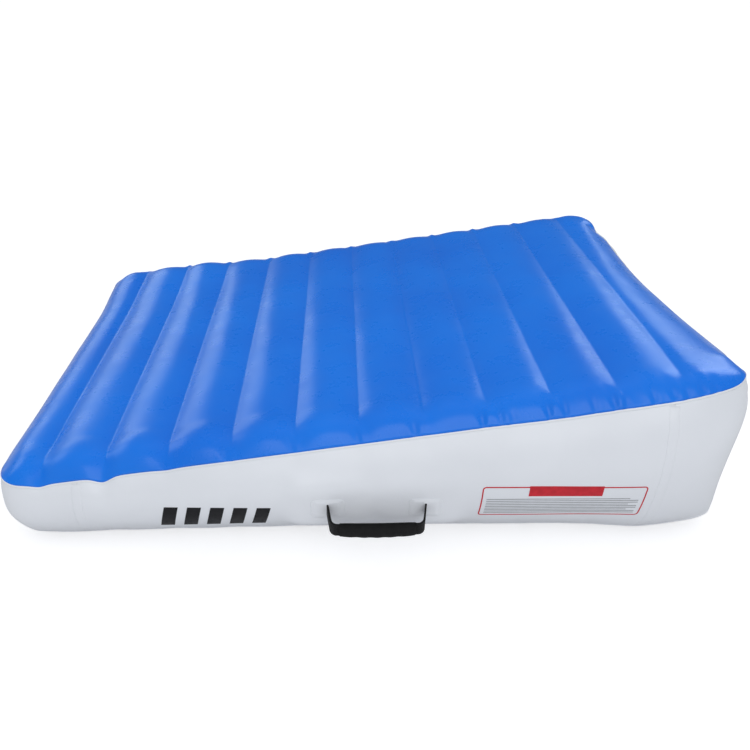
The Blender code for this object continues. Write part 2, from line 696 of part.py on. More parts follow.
def valve_spring(valve):
    """A coil between the spider and the button."""
    start = SPIDER_OUTER + SPRING_GAP + WIRE_RADIUS
    stop = BUTTON_BASE * MM - SPRING_GAP - WIRE_RADIUS
    total = SPRING_TURNS * SPRING_STEPS
    axis = Vector((1, 0, 0))
    bm = bmesh.new()
    rings = []
    for k in range(total + 1):
        angle = 2 * math.pi * k / SPRING_STEPS
        radial = Vector((0, math.cos(angle), math.sin(angle)))
        centre = axis * (start + (stop - start) * k / total) + radial * COIL_RADIUS
        ring = []
        for q in range(WIRE_SIDES):
            around = 2 * math.pi * q / WIRE_SIDES
            offset = (radial * math.cos(around) + axis * math.sin(around)) * WIRE_RADIUS
            ring.append(bm.verts.new(centre + offset))
        rings.append(ring)
    join_rod(bm, rings)
    place("valve_spring", bm, SPRING, parent=valve, smooth=60)


def tether_strap_mesh():
    """A flat strap that loops from the tether's ring up to the cap's ring."""
    bm = bmesh.new()
    rings = []
    for k, (out, below) in enumerate(TETHER_PATH):
        before = Vector(TETHER_PATH[max(0, k - 1)])
        after = Vector(TETHER_PATH[min(len(TETHER_PATH) - 1, k + 1)])
        course = (after - before).normalized()
        offset = Vector((-course.y, course.x)) * TETHER_HALF_T
        rings.append([bm.verts.new((out * MM + offset.x * face, edge * TETHER_HALF_WIDTH,
                                    -(below * MM + offset.y * face)))
                      for face, edge in ((-1, -1), (1, -1), (1, 1), (-1, 1))])
    join_rod(bm, rings)
    bmesh.ops.recalc_face_normals(bm, faces=bm.faces)
    return to_mesh("tether_strap", bm)


def valve_tether(valve):
    """A flat ring round the neck, with its strap joined on."""
    ring = turned("valve_tether", TETHER, None, TETHER_RING, valve)
    form = boolean_form("tether_strap_form", tether_strap_mesh())
    form.parent = valve
    add_boolean(ring, "strap", "UNION", form)


def cut_valve_hole(wall):
    """Cut the tall end wall round for the valve's neck."""
    radius = (NECK_RADIUS + HOLE_GAP) * MM
    bm = bmesh.new()
    bmesh.ops.create_cone(bm, cap_ends=True, segments=VALVE_SIDES,
                          radius1=radius, radius2=radius, depth=HOLE_DEPTH)
    cutter = boolean_form("valve_hole", to_mesh("valve_hole", bm))
    cutter.location = (VALVE_WALL_X, VALVE_Y, VALVE_Z)
    cutter.rotation_euler = (0, math.pi / 2, 0)
    add_boolean(wall, "valve hole", "DIFFERENCE", cutter)


def inflation_valve():
    valve = add_object("valve_centre")
    valve.location = (VALVE_WALL_X, VALVE_Y, VALVE_Z)
    for name, finish, ripple, profile in TURNED_PIECES:
        turned(name, finish, ripple, profile, valve)
    valve_spider(valve)
    valve_spring(valve)
    valve_tether(valve)


# ---- the whole ramp -------------------------------------------------------------------
clear_scene()
top_and_bottom_panels()
high_end_wall = wall_panels()
for number, web_x in enumerate(WEB_X, start=1):
    web("web_%02d" % number, web_x)
handle("near_handle", -1)
handle("far_handle", 1)
inflation_valve()
cut_valve_hole(high_end_wall)
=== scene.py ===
"""Inflatable springboard ramp: the visual model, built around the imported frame."""
import json
import math
import random
import bpy
import bmesh
import numpy as np
from mathutils import Vector, Matrix
from mathutils.bvhtree import BVHTree


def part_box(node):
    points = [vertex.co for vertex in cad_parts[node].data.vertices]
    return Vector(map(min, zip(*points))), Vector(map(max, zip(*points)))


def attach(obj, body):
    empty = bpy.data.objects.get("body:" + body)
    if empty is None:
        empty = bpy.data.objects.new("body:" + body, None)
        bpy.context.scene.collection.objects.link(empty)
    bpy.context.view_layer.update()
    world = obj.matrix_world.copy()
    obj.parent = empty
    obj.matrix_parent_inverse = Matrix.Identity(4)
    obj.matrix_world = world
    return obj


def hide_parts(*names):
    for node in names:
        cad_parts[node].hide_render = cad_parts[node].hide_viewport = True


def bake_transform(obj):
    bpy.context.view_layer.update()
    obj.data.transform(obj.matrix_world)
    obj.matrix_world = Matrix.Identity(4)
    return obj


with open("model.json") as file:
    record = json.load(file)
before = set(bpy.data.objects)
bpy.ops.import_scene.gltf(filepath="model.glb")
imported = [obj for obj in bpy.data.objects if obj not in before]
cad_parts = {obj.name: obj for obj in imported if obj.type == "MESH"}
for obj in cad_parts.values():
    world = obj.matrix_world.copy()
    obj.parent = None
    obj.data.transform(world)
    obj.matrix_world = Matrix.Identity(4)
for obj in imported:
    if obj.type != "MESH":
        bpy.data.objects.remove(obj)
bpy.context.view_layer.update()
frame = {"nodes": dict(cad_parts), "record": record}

# ------------------------------------------------------------------ the CAD's dimensions
PITCH, NW = 0.165, 11
XM, ZM, SLOPE = -0.0479, 0.365, 0.160
XL = XM - 5 * PITCH - 0.1155
XH = XM + 5 * PITCH + 0.1485
HW = 0.637
RC = 0.078
BOTTOM_VALLEY = 0.012
SEAM_DROP, SEAM_Z = 0.020, 0.020
EAR_NEAR, EAR_FAR, EAR_Z = 0.030, 0.010, 0.012
LOBE = (0.024, 0.018, 0.014)
WEB_GAP = 0.020
WEBX = [XM + PITCH * (k - 5) for k in range(NW)]
LAP_LOW, LAP_HIGH = XM - 0.726, XM + 0.792
WALL_ROWS = 14

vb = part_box("valve_collar")
VALVE_Y = (vb[0][1] + vb[1][1]) / 2
VALVE_Z = (vb[0][2] + vb[1][2]) / 2
VALVE_X = vb[0][0] - 0.0004
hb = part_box("near_handle_strap_end_left")
HANDLE_Z = (hb[0][2] + hb[1][2]) / 2
HANDLE_Y = abs(hb[1][1]) - 0.0004
SPAN = 0.128
AXIS_OUT = 0.0045
REACH, BEND_R, LEAN = 0.0535, 0.016, 0.010
DROP, SAG, GRIP_HALF = 0.0175, 0.003, 0.098


def plane(x):
    return ZM + SLOPE * (x - XM)


def ease(d, r, p=2.2):
    return 1 - (1 - min(max(d / r, 0.0), 1.0)) ** p


def smooth(t):
    t = min(1.0, max(0.0, t))
    return t * t * (3 - 2 * t)


def lobe_depth(x):
    s = (x - XL) / (XH - XL)
    a, b, c = LOBE
    return a + (b - a) * s * 2 if s < 0.5 else b + (c - b) * (s * 2 - 1)


def phase(x):
    stops = [XL] + WEBX + [XH]
    for a, b in zip(stops, stops[1:]):
        if x <= b + 1e-9:
            s = (x - a) / (b - a)
            return max(0.0, 4 * s * (1 - s))
    return 0.0


def outline(x, y):
    ul = x - (XH - RC) if x > 0 else (XL + RC) - x
    vl = abs(y) - (HW - RC)
    if ul <= 1e-9 or vl <= 1e-9:
        return x, y
    u, v = ul / RC, vl / RC
    uu, vv = u * math.sqrt(1 - v * v / 2), v * math.sqrt(1 - u * u / 2)
    return (XH - RC + RC * uu if x > 0 else XL + RC - RC * uu), math.copysign(HW - RC + RC * vv, y)


def ear(x, y):
    return smooth((x - WEBX[-1]) / (XH - WEBX[-1])) * (min(1.0, abs(y) / HW) ** 2 - 0.35)


def ear_x(y):
    t = min(1.0, max(0.0, y / HW))
    return EAR_NEAR + (EAR_FAR - EAR_NEAR) * t * t


def segments(breaks, h):
    breaks = sorted(set(round(b, 6) for b in breaks))
    out = [breaks[0]]
    for a, b in zip(breaks, breaks[1:]):
        n = max(1, round((b - a) / h))
        out += [a + (b - a) * i / n for i in range(1, n + 1)]
    return out


# ------------------------------------------------------------------ the air body, simulated
def air_body():
    """One closed sewn body.  Webs hold the crease lines; pressure shapes the rest."""
    hx, hy, he = 0.0165, 0.045, 0.016
    xs = np.array(segments([XL, XH, XL + RC, XH - RC] + WEBX, hx))
    e = 0.15
    ye = segments([-HW, -HW + WEB_GAP, -HW + 0.050, -HW + RC, -HW + e], he)
    ym = segments([-HW + e, HW - e], hy)
    ys = np.array(ye[:-1] + ym + [-v for v in reversed(ye[:-1])])
    nx, ny = len(xs), len(ys)
    fine = np.linspace(XL, XH, 4001)
    zz = np.array([plane(x) + lobe_depth(x) * phase(x) for x in fine])
    arc = np.concatenate([[0], np.cumsum(np.hypot(np.diff(fine), np.diff(zz)))])
    arc0 = np.interp(XM, fine, arc)
    fz = math.sqrt(1 + SLOPE * SLOPE)
    fy = np.linspace(0, HW, 2001)
    zy = np.array([-SEAM_DROP * (1 - ease(HW - y, 0.10)) for y in fy])
    arcy = np.concatenate([[0], np.cumsum(np.hypot(np.diff(fy), np.diff(zy)))])
    top = np.zeros((nx, ny, 3))
    bot = np.zeros((nx, ny, 3))
    ftop = np.zeros((nx, ny, 2))
    pin_t = np.zeros((nx, ny), bool)
    pin_b = np.zeros((nx, ny), bool)
    iw = [int(np.argmin(abs(xs - w))) for w in WEBX]
    for i, x in enumerate(xs):
        for j, y in enumerate(ys):
            px, py = outline(x, y)
            dx, dy = min(x - XL, XH - x), HW - abs(y)
            c, depth = phase(x), lobe_depth(x)
            swell = ease(dy, 0.10) * ease(dx, 0.08)
            E = ear(px, py)
            EAR = ear_x(py)
            top[i, j] = (px + EAR * E, py,
                         plane(px) - SEAM_DROP + (SEAM_DROP + depth * c) * swell + EAR_Z * E)
            inner = BOTTOM_VALLEY * max(0, 1 - 2 * c)
            g = ease(dy, 0.06) * ease(dx, 0.06)
            bot[i, j] = (px + EAR / 2 * E, py, SEAM_Z * (1 - g) + inner * g)
            t = ease(dy, 0.05, 1.5)
            full = float(np.interp(px, fine, arc) - arc0)
            ftop[i, j] = (EAR * E + (px - XM) * fz * (1 - t) + full * t,
                          math.copysign(float(np.interp(abs(py), fy, arcy)), py))
            if i in iw and dy >= WEB_GAP - 1e-6:
                pin_t[i, j] = True
                top[i, j, 2] = plane(x)
            if dy > 0.05 and dx > 0.05:
                pin_b[i, j] = True
    nt = nx * ny

    def idx(i, j):
        return i * ny + j

    rim = ([(i, 0) for i in range(nx)] + [(nx - 1, j) for j in range(1, ny)]
           + [(i, ny - 1) for i in range(nx - 2, -1, -1)] + [(0, j) for j in range(ny - 2, 0, -1)])
    n_rim = len(rim)
    V = list(map(tuple, top.reshape(-1, 3))) + list(map(tuple, bot.reshape(-1, 3)))
    R = [None] * (2 * nt)
    for i in range(nx):
        for j in range(ny):
            h = (plane(top[i, j, 0]) - SEAM_DROP) - SEAM_Z
            R[idx(i, j)] = (ftop[i, j, 0] / fz, ftop[i, j, 1], 0.02 + h * 1.045)
            R[nt + idx(i, j)] = (ftop[i, j, 0] / fz, ftop[i, j, 1], 0.02)
    wall = np.zeros((WALL_ROWS + 1, n_rim), int)
    plan_t = np.array([top[i, j, :2] for i, j in rim])
    plan_b = np.array([bot[i, j, :2] for i, j in rim])
    par = [(xs[i], HW - abs(ys[j]), 2.0) for i in range(nx) for j in range(ny)]
    par += [(xs[i], HW - abs(ys[j]), -1.0) for i in range(nx) for j in range(ny)]
    for c, (i, j) in enumerate(rim):
        a, b = plan_t[c - 1], plan_t[(c + 1) % n_rim]
        n = np.array([b[1] - a[1], a[0] - b[0]])
        n /= np.linalg.norm(n)
        z0, z1 = bot[i, j, 2], top[i, j, 2]
        wall[0, c], wall[WALL_ROWS, c] = nt + idx(i, j), idx(i, j)
        ra, rb = np.array(R[nt + idx(i, j)]), np.array(R[idx(i, j)])
        for r in range(1, WALL_ROWS):
            t = r / WALL_ROWS
            wall[r, c] = len(V)
            out = 0.12 * (z1 - z0) * 4 * t * (1 - t)
            pl = plan_b[c] * (1 - t) + plan_t[c] * t
            V.append((pl[0] + n[0] * out, pl[1] + n[1] * out, z0 + (z1 - z0) * t))
            R.append(tuple(ra + (rb - ra) * t))
            par.append((xs[i], -1.0, t))
    V, R = np.array(V), np.array(R)
    i_low, i_high = int(np.argmin(abs(xs - LAP_LOW))), int(np.argmin(abs(xs - LAP_HIGH)))
    c_nl, c_nh = rim.index((i_low, 0)), rim.index((i_high, 0))
    c_fh, c_fl = rim.index((i_high, ny - 1)), rim.index((i_low, ny - 1))
    faces, tags = [], []
    for i in range(nx - 1):
        for j in range(ny - 1):
            faces.append((idx(i, j), idx(i + 1, j), idx(i + 1, j + 1), idx(i, j + 1)))
            tags.append(0)
            faces.append((nt + idx(i, j), nt + idx(i, j + 1), nt + idx(i + 1, j + 1), nt + idx(i + 1, j)))
            tags.append(1)
    for r in range(WALL_ROWS):
        for c in range(n_rim):
            d = (c + 1) % n_rim
            faces.append((wall[r, c], wall[r, d], wall[r + 1, d], wall[r + 1, c]))
            tags.append(2 if c_nl <= c < c_nh else 3 if c_nh <= c < c_fh else 4 if c_fh <= c < c_fl else 5)
    mesh = bpy.data.meshes.new("air")
    mesh.from_pydata([tuple(map(float, v)) for v in V], [], [tuple(int(q) for q in f) for f in faces])
    mesh.update()
    obj = bpy.data.objects.new("air", mesh)
    bpy.context.scene.collection.objects.link(obj)
    obj.shape_key_add(name="Basis")
    key = obj.shape_key_add(name="pattern")
    key.data.foreach_set("co", R.astype(np.float32).ravel())
    group = obj.vertex_groups.new(name="webs")
    held = np.nonzero(np.concatenate([pin_t.ravel(), pin_b.ravel()]))[0]
    group.add([int(k) for k in held], 1.0, "REPLACE")
    mod = obj.modifiers.new("inflate", "CLOTH")
    s = mod.settings
    s.vertex_group_mass = "webs"
    s.rest_shape_key = key
    s.quality = 6
    s.mass = 0.15
    s.air_damping = 2.0
    s.tension_stiffness, s.compression_stiffness, s.shear_stiffness = 60.0, 18.0, 15.0
    s.bending_stiffness = 0.05
    s.tension_damping = s.compression_damping = s.shear_damping = 10.0
    s.bending_damping = 0.5
    s.use_pressure = True
    s.uniform_pressure_force = 10.0
    s.effector_weights.gravity = 0.0
    mod.collision_settings.use_collision = False
    mod.collision_settings.use_self_collision = False
    sc = bpy.context.scene
    sc.frame_start, sc.frame_end = 1, 14
    mod.point_cache.frame_start, mod.point_cache.frame_end = 1, 20
    for f in range(1, 15):
        sc.frame_set(f)
    ev = obj.evaluated_get(bpy.context.evaluated_depsgraph_get())
    m2 = ev.to_mesh()
    co = np.empty(len(m2.vertices) * 3, np.float32)
    m2.vertices.foreach_get("co", co)
    ev.to_mesh_clear()
    V = co.reshape(-1, 3).astype(float)
    bpy.data.objects.remove(obj, do_unlink=True)
    sc.frame_set(1)
    V[:, 2] = np.maximum(V[:, 2], 0.0)
    return dict(V=V, faces=faces, tags=tags, par=np.array(par), xs=xs, ys=ys, nx=nx, ny=ny, iw=iw,
                wall=wall, rim=rim, idx=idx, nt=nt)


A = air_body()
V = A["V"]


def relax(points, faces, centre, radius, rounds, keep):
    """Evens out small folds around a corner."""
    nb = {}
    for f in faces:
        for a, b in zip(f, f[1:] + f[:1]):
            nb.setdefault(a, set()).add(b)
            nb.setdefault(b, set()).add(a)
    d = np.linalg.norm(points[:, :2] - np.array(centre), axis=1)
    ids = [v for v in np.nonzero(d < radius)[0] if v not in keep]
    wgt = {v: smooth((radius - d[v]) / (radius * 0.6)) for v in ids}
    for _ in range(rounds):
        new = {v: sum(points[q] for q in nb[v]) / len(nb[v]) for v in ids}
        for v in ids:
            points[v] += (new[v] - points[v]) * 0.5 * wgt[v]


def relax_rim(points, rim, rounds, centre, radius):
    """The same along the seam line itself."""
    n_ = len(rim)
    d = [np.linalg.norm(points[v, :2] - np.array(centre)) for v in rim]
    wgt = [smooth((radius - q) / (radius * 0.6)) for q in d]
    for _ in range(rounds):
        old = [points[v].copy() for v in rim]
        for k in range(n_):
            if wgt[k] > 0:
                points[rim[k]] = old[k] + ((old[k - 1] + old[(k + 1) % n_]) / 2 - old[k]) * 0.5 * wgt[k]


RIM_TOP = [A["idx"](i, j) for i, j in A["rim"]]
FACES = [tuple(int(q) for q in f) for f in A["faces"]]
for corner, rounds in (((XH, -HW), 18), ((XH, HW), 22), ((XL, -HW), 8), ((XL, HW), 2)):
    relax_rim(V, RIM_TOP, rounds // 2, corner, 0.13)
    relax(V, FACES, corner, 0.17, rounds, set(RIM_TOP))

# how the sheets settle: the near seam hangs a little, the tall end's seam bows out on the near half
T = np.clip(A["par"][:, 2], 0.0, 1.0)
X0, Y0 = V[:, 0].copy(), V[:, 1].copy()
DIST = np.where(A["par"][:, 2] > 1.0, HW - np.abs(Y0), 0.0)


def fade(value, a, b):
    t = np.clip((value - a) / (b - a), 0.0, 1.0)
    return t * t * (3 - 2 * t)


on_near = (Y0 < -HW + 0.12) & (A["par"][:, 2] >= 0.0)
hang = np.where(A["par"][:, 2] > 1.0, np.clip(1 - DIST / 0.055, 0, 1) ** 1.5, T ** 1.5)
hang_x = np.interp(X0, (-1.02, -0.95, -0.86, -0.30, 0.60, 0.80, 0.95), (0.004, 0.006, 0.012, 0.016, 0.019, 0.015, 0.020))
V[:, 2] -= np.where(on_near, hang * hang_x, 0.0)
end_x = np.interp(Y0, (-0.64, -0.585, -0.51, -0.45, -0.30, -0.15, -0.08, 0.0, 0.15, 0.30, 0.45, 0.55, 0.64),
                  (0.008, 0.027, 0.036, 0.031, 0.027, 0.021, 0.016, 0.010, 0.0, -0.006, -0.012, -0.021, -0.026))
end_w = fade(X0, 0.80, 0.93)
up_w_ = fade(T, 0.55, 1.0)
foot = fade(-T, -0.40, 0.0)
belly_in = 0.008 * fade(-Y0, 0.30, 0.62) * np.exp(-((T - 0.55) / 0.18) ** 2)
shoulder = 0.016 * fade(-Y0, 0.40, 0.60) * np.exp(-((T - 0.84) / 0.14) ** 2)
V[:, 0] += end_w * (end_x * up_w_ + 0.036 * foot + 0.022 * foot * fade(-T, -0.22, 0.0) - belly_in + shoulder)
near_edge = fade(-Y0, HW - 0.12, HW - 0.01)
V[:, 1] += near_edge * fade(-T, -0.45, 0.0) * (0.006 * fade(-X0, -0.45, 0.0) - 0.014 * fade(X0, 0.50, 0.80))
low_w = fade(-X0, 0.86, 0.98)
V[:, 0] += low_w * (-0.008 * up_w_ * fade(-Y0, 0.2, 0.6) + 0.012 * fade(-T, -0.5, 0.0) * fade(-Y0, 0.45, 0.62)
                    - 0.014 * up_w_ * fade(Y0, 0.30, 0.62))
V[:, 2] += 0.017 * fade(Y0, 0.25, 0.62) * fade(-X0, 0.42, 0.70) * T
V[:, 2] += 0.006 * fade(Y0, 0.10, 0.60) * fade(X0, 0.79, 0.86) * T ** 2

# the seam is drawn down where the first creases meet it
# the seams turn the tall end's corners in a wide round, and the wall under them follows
RIM_BOT = [A["nt"] + A["idx"](i, j) for i, j in A["rim"]]
for rim_line, rounds, centre, top_side, fall in ((RIM_TOP, 14, (XH + 0.020, -HW), True, 0.012),
                                                 (RIM_TOP, 16, (XH - 0.010, HW), True, 0.005),
                                                 (RIM_BOT, 12, (XH + 0.030, -HW), False, 0),
                                                 (RIM_BOT, 12, (XH + 0.030, HW), False, 0)):
    was = V[rim_line].copy()
    relax_rim(V, rim_line, rounds, centre, 0.17)
    if top_side:
        tip = np.exp(-((np.hypot(V[rim_line, 0] - centre[0], V[rim_line, 1] - centre[1])) / 0.055) ** 2)
        V[rim_line, 2] -= fall * tip
    shift = V[rim_line] - was
    for r_ in range(1, WALL_ROWS):
        t_ = r_ / WALL_ROWS
        V[A["wall"][r_]] += shift * (t_ ** 2.5 if top_side else (1 - t_) ** 3)

# each corner of the top at the tall end is a full, rounded end without a hollow
for corner, cap, rise in (((XH, -HW), 0.509, 0.050), ((XH, HW), 0.514, 0.034)):
    near_c = np.nonzero((A["par"][:, 2] > 1.0) & (np.hypot(X0 - corner[0], Y0 - corner[1]) < 0.24))[0]
    rim_pts = V[[v for v in RIM_TOP if np.hypot(V[v, 0] - corner[0], V[v, 1] - corner[1]) < 0.34]]
    for v in near_c:
        gap = np.hypot(rim_pts[:, 0] - V[v, 0], rim_pts[:, 1] - V[v, 1])
        q = int(gap.argmin())
        dome = min(rim_pts[q, 2] + rise * ease(gap[q], 0.085), cap)
        far_ = math.hypot(X0[v] - corner[0], Y0[v] - corner[1])
        V[v, 2] += max(0.0, dome - V[v, 2]) * smooth((0.22 - far_) / 0.08) * smooth((X0[v] - WEBX[-1]) / 0.04)
    relax(V, FACES, corner, 0.17, 5, set(RIM_TOP))
for k, depth, wide in ((0, 0.007, 0.020), (1, 0.018, 0.024), (2, 0.003, 0.030), (8, 0.003, 0.080)):
    gx = np.exp(-((X0 - WEBX[k]) / wide) ** 2)
    V[:, 2] -= np.where(on_near, gx * depth * np.where(A["par"][:, 2] > 1.0, np.clip(1 - DIST / 0.050, 0, 1) ** 1.2, T ** 3), 0.0)
# the near ends of the tubes are full lobes, so the creases run on between them down to the seam
lobes = np.array([phase(x) for x in X0]) ** 0.8
full_x = np.interp(X0, (-1.0, -0.3, 0.2, 0.6), (0.008, 0.008, 0.005, 0.0))
end_bulge = np.where(on_near & (A["par"][:, 2] > 1.0),
                     np.clip(DIST / 0.026, 0, 1) * np.clip(1 - (DIST - 0.026) / 0.125, 0, 1) ** 1.7, 0.0)
V[:, 2] += full_x * lobes * end_bulge
V[:, 1] -= 0.55 * full_x * lobes * end_bulge
for k, depth in ((0, 0.015), (1, 0.014), (2, 0.014), (3, 0.011), (4, 0.008), (5, 0.005)):
    fold = np.exp(-np.abs(X0 - WEBX[k]) / 0.018) * np.clip(DIST / 0.012, 0, 1) * np.clip(1 - (DIST / 0.058) ** 2, 0, 1)
    V[:, 2] -= np.where(on_near & (A["par"][:, 2] > 1.0), depth * fold, 0.0)

# the wall passes through the CAD's handle and valve places
W = A["wall"]
near_cols = [c for c, (i, j) in enumerate(A["rim"]) if j == 0]
far_cols = [c for c, (i, j) in enumerate(A["rim"]) if j == A["ny"] - 1]
for cols, sgn in ((near_cols, -1), (far_cols, 1)):
    for hx in (-SPAN, SPAN):
        ids = W[1:-1][:, cols].ravel()
        ox = np.maximum(0.0, np.abs(V[ids, 0] - hx) - 0.062)
        oz = np.maximum(0.0, np.abs(V[ids, 2] - HANDLE_Z) - 0.046)
        wgt = np.clip(1 - np.hypot(ox / 0.075, oz / 0.062), 0, 1)
        wgt = wgt * wgt * (3 - 2 * wgt)
        V[ids, 1] += (sgn * HANDLE_Y - V[ids, 1]) * wgt

# ------------------------------------------------------------------ subdivided skin
base = bpy.data.meshes.new("skin_base")
base.from_pydata([tuple(map(float, v)) for v in V], [], [tuple(int(q) for q in f) for f in A["faces"]])
base.update()
for k in range(6):
    base.materials.append(bpy.data.materials.new("tag%d" % k))
base.polygons.foreach_set("material_index", A["tags"])
for name, col in (("pu", 0), ("pd", 1), ("pt", 2)):
    at = base.attributes.new(name, "FLOAT", "POINT")
    at.data.foreach_set("value", A["par"][:, col].astype(np.float32))
crease = base.attributes.new("crease_edge", "FLOAT", "EDGE")
web_rows = set(A["iw"])
nt, ny, nx = A["nt"], A["ny"], A["nx"]
rim_ids = {A["idx"](i, j) for i, j in A["rim"]}
vals = np.zeros(len(base.edges), np.float32)
ed = np.empty(len(base.edges) * 2, np.int32)
base.edges.foreach_get("vertices", ed)
ed = ed.reshape(-1, 2)
for k, (a, b) in enumerate(ed):
    if a < 2 * nt and b < 2 * nt:
        side = (a >= nt)
        if side != (b >= nt):
            continue
        ai, aj = divmod(a % nt, ny)
        bi, bj = divmod(b % nt, ny)
        if ai == bi and ai in web_rows:
            d = HW - max(abs(A["ys"][aj]), abs(A["ys"][bj]))
            if d >= WEB_GAP - 0.002:
                f = (ai / nx)
                vals[k] = 0.75 - 0.35 * f if not side else 0.5
        elif a % nt in rim_ids and b % nt in rim_ids and (ai == bi and ai in (0, nx - 1) or aj == bj and aj in (0, ny - 1)):
            vals[k] = 0.6
crease.data.foreach_set("value", vals)
tmp = bpy.data.objects.new("skin_tmp", base)
bpy.context.scene.collection.objects.link(tmp)
sub = tmp.modifiers.new("sub", "SUBSURF")
sub.levels = sub.render_levels = 2
ev = tmp.evaluated_get(bpy.context.evaluated_depsgraph_get())
fine = bpy.data.meshes.new_from_object(ev)
bpy.data.objects.remove(tmp, do_unlink=True)

NV = len(fine.vertices)
C = np.empty(NV * 3, np.float32)
fine.vertices.foreach_get("co", C)
C = C.reshape(-1, 3).astype(float)
N = np.empty(NV * 3, np.float32)
fine.vertex_normals.foreach_get("vector", N)
N = N.reshape(-1, 3).astype(float)


def attr(name):
    out = np.empty(NV, np.float32)
    fine.attributes[name].data.foreach_get("value", out)
    return out.astype(float)


PU, PD, PT = attr("pu"), attr("pd"), attr("pt")
is_top = PT > 1.0
is_wall = (PT > 0.02) & (PT < 0.995)

# pinch wrinkles along the welded seams: short pleats running in from the seam
rng = random.Random(7)


def pinch(coord, dist, at, length, width, amp, lean):
    w = width * (1 + 0.9 * dist / length)
    u = (coord - at - lean * dist) / w
    prof = -np.exp(-u * u / 2) + 0.55 * (np.exp(-(u - 1.9) ** 2 / 2) + np.exp(-(u + 1.9) ** 2 / 2))
    q = np.clip(dist / length, 0, 4)
    a = amp * (q * 4.2) * np.exp(1 - q * 4.2)
    return np.where((dist > 0) & (np.abs(u) < 6), a * prof, 0.0)


move = np.zeros(NV)
NEAR_PINCHES = ((-0.545, 0.8), (-0.385, 1.0), (-0.215, 0.9), (-0.045, 1.2), (0.100, 1.7), (0.270, 2.0), (0.317, 1.3),
                (0.349, 1.4), (0.439, 2.0), (0.480, 1.7), (0.552, 1.4), (0.603, 2.0), (0.632, 1.4), (0.701, 2.0),
                (0.750, 1.7), (0.782, 1.6), (0.821, 1.8), (0.855, 1.9))
for sgn in (-1, 1):
    sel = np.nonzero(is_top & (C[:, 1] * sgn > HW - 0.2))[0]
    x, d = C[sel, 0], PD[sel]
    add = np.zeros(len(sel))
    if sgn < 0:
        for px_, amp in NEAR_PINCHES:
            add += pinch(x, d, px_, rng.uniform(0.045, 0.065), rng.uniform(0.0050, 0.0062), 0.0019 * amp, rng.uniform(-0.45, -0.25))
    else:
        for k, wx in enumerate(WEBX):
            for _ in range(2 if k > 4 else 1):
                add += pinch(x, d, wx + rng.uniform(-0.4, 0.4) * PITCH, rng.uniform(0.040, 0.060),
                             rng.uniform(0.0036, 0.0050), rng.uniform(0.0012, 0.0026), rng.uniform(-0.25, 0.25))
    move[sel] += add
for end in (-1, 1):
    edge = XL if end < 0 else XH
    d_all = (C[:, 0] - XL) if end < 0 else (XH + 0.01 - C[:, 0])
    sel = np.nonzero(is_top & (d_all < 0.16) & (np.abs(C[:, 1]) < HW - 0.03))[0]
    d = np.clip((PU[sel] - XL) if end < 0 else (XH - PU[sel]), 0, 1)
    add = np.zeros(len(sel))
    for _ in range(13):
        add += pinch(C[sel, 1], d, rng.uniform(-0.95, 0.95) * HW, rng.uniform(0.030, 0.065), rng.uniform(0.005, 0.008),
                     rng.uniform(0.0006, 0.0016), rng.uniform(-0.2, 0.2))
    move[sel] += add
# gentle unevenness of a hand-welded sheet
move[is_top] += 0.0006 * np.sin(C[is_top, 0] * 31 + 3 * np.sin(C[is_top, 1] * 5)) * np.sin(C[is_top, 1] * 17 + 1.3) * np.clip(PD[is_top] / 0.05, 0, 1)
move[is_wall] += 0.0010 * np.sin(C[is_wall, 0] * 13 + 2) * np.sin(C[is_wall, 2] * 21 + C[is_wall, 1] * 9) * np.sin(math.pi * np.clip(PT[is_wall], 0, 1))
C += N * move[:, None]
C[:, 2] = np.maximum(C[:, 2], 0.0)

# the wall lies flat under the valve's flange
r = np.hypot(C[:, 1] - VALVE_Y, C[:, 2] - VALVE_Z)
sel = (C[:, 0] > 0.9) & (r < 0.075) & is_wall
w = np.clip((0.075 - r[sel]) / 0.040, 0, 1)
w = w * w * (3 - 2 * w)
C[sel, 0] = C[sel, 0] * (1 - w) + VALVE_X * w
fine.vertices.foreach_set("co", C.astype(np.float32).ravel())
fine.update()


# ------------------------------------------------------------------ materials
def shader(name):
    mat = bpy.data.materials.new(name)
    mat.use_nodes = True
    nt_ = mat.node_tree
    return mat, nt_, nt_.nodes["Principled BSDF"]


def node(tree, kind, **props):
    n = tree.nodes.new(kind)
    for key, val in props.items():
        if key in n.inputs:
            n.inputs[key].default_value = val
        else:
            setattr(n, key, val)
    return n


def coords(tree, kind="Object"):
    return tree.nodes.new("ShaderNodeTexCoord").outputs[kind]


def noise(tree, vec, scale, detail=2.0, rough=0.5):
    n = tree.nodes.new("ShaderNodeTexNoise")
    n.inputs["Scale"].default_value = scale
    n.inputs["Detail"].default_value = detail
    n.inputs["Roughness"].default_value = rough
    tree.links.new(vec, n.inputs["Vector"])
    return n.outputs["Fac"]


def remap(tree, value, a, b, lo, hi):
    m = tree.nodes.new("ShaderNodeMapRange")
    for k, v in zip(("From Min", "From Max", "To Min", "To Max"), (a, b, lo, hi)):
        m.inputs[k].default_value = v
    tree.links.new(value, m.inputs["Value"])
    return m.outputs["Result"]


def mix_colour(tree, fac, a, b, mode="MIX"):
    m = tree.nodes.new("ShaderNodeMix")
    m.data_type = "RGBA"
    m.blend_type = mode
    for sock, val in ((m.inputs[0], fac), (m.inputs[6], a), (m.inputs[7], b)):
        if hasattr(val, "links") or isinstance(val, bpy.types.NodeSocket):
            tree.links.new(val, sock)
        else:
            sock.default_value = val if not isinstance(val, tuple) else (*val, 1.0) if len(val) == 3 else val
    return m.outputs[2]


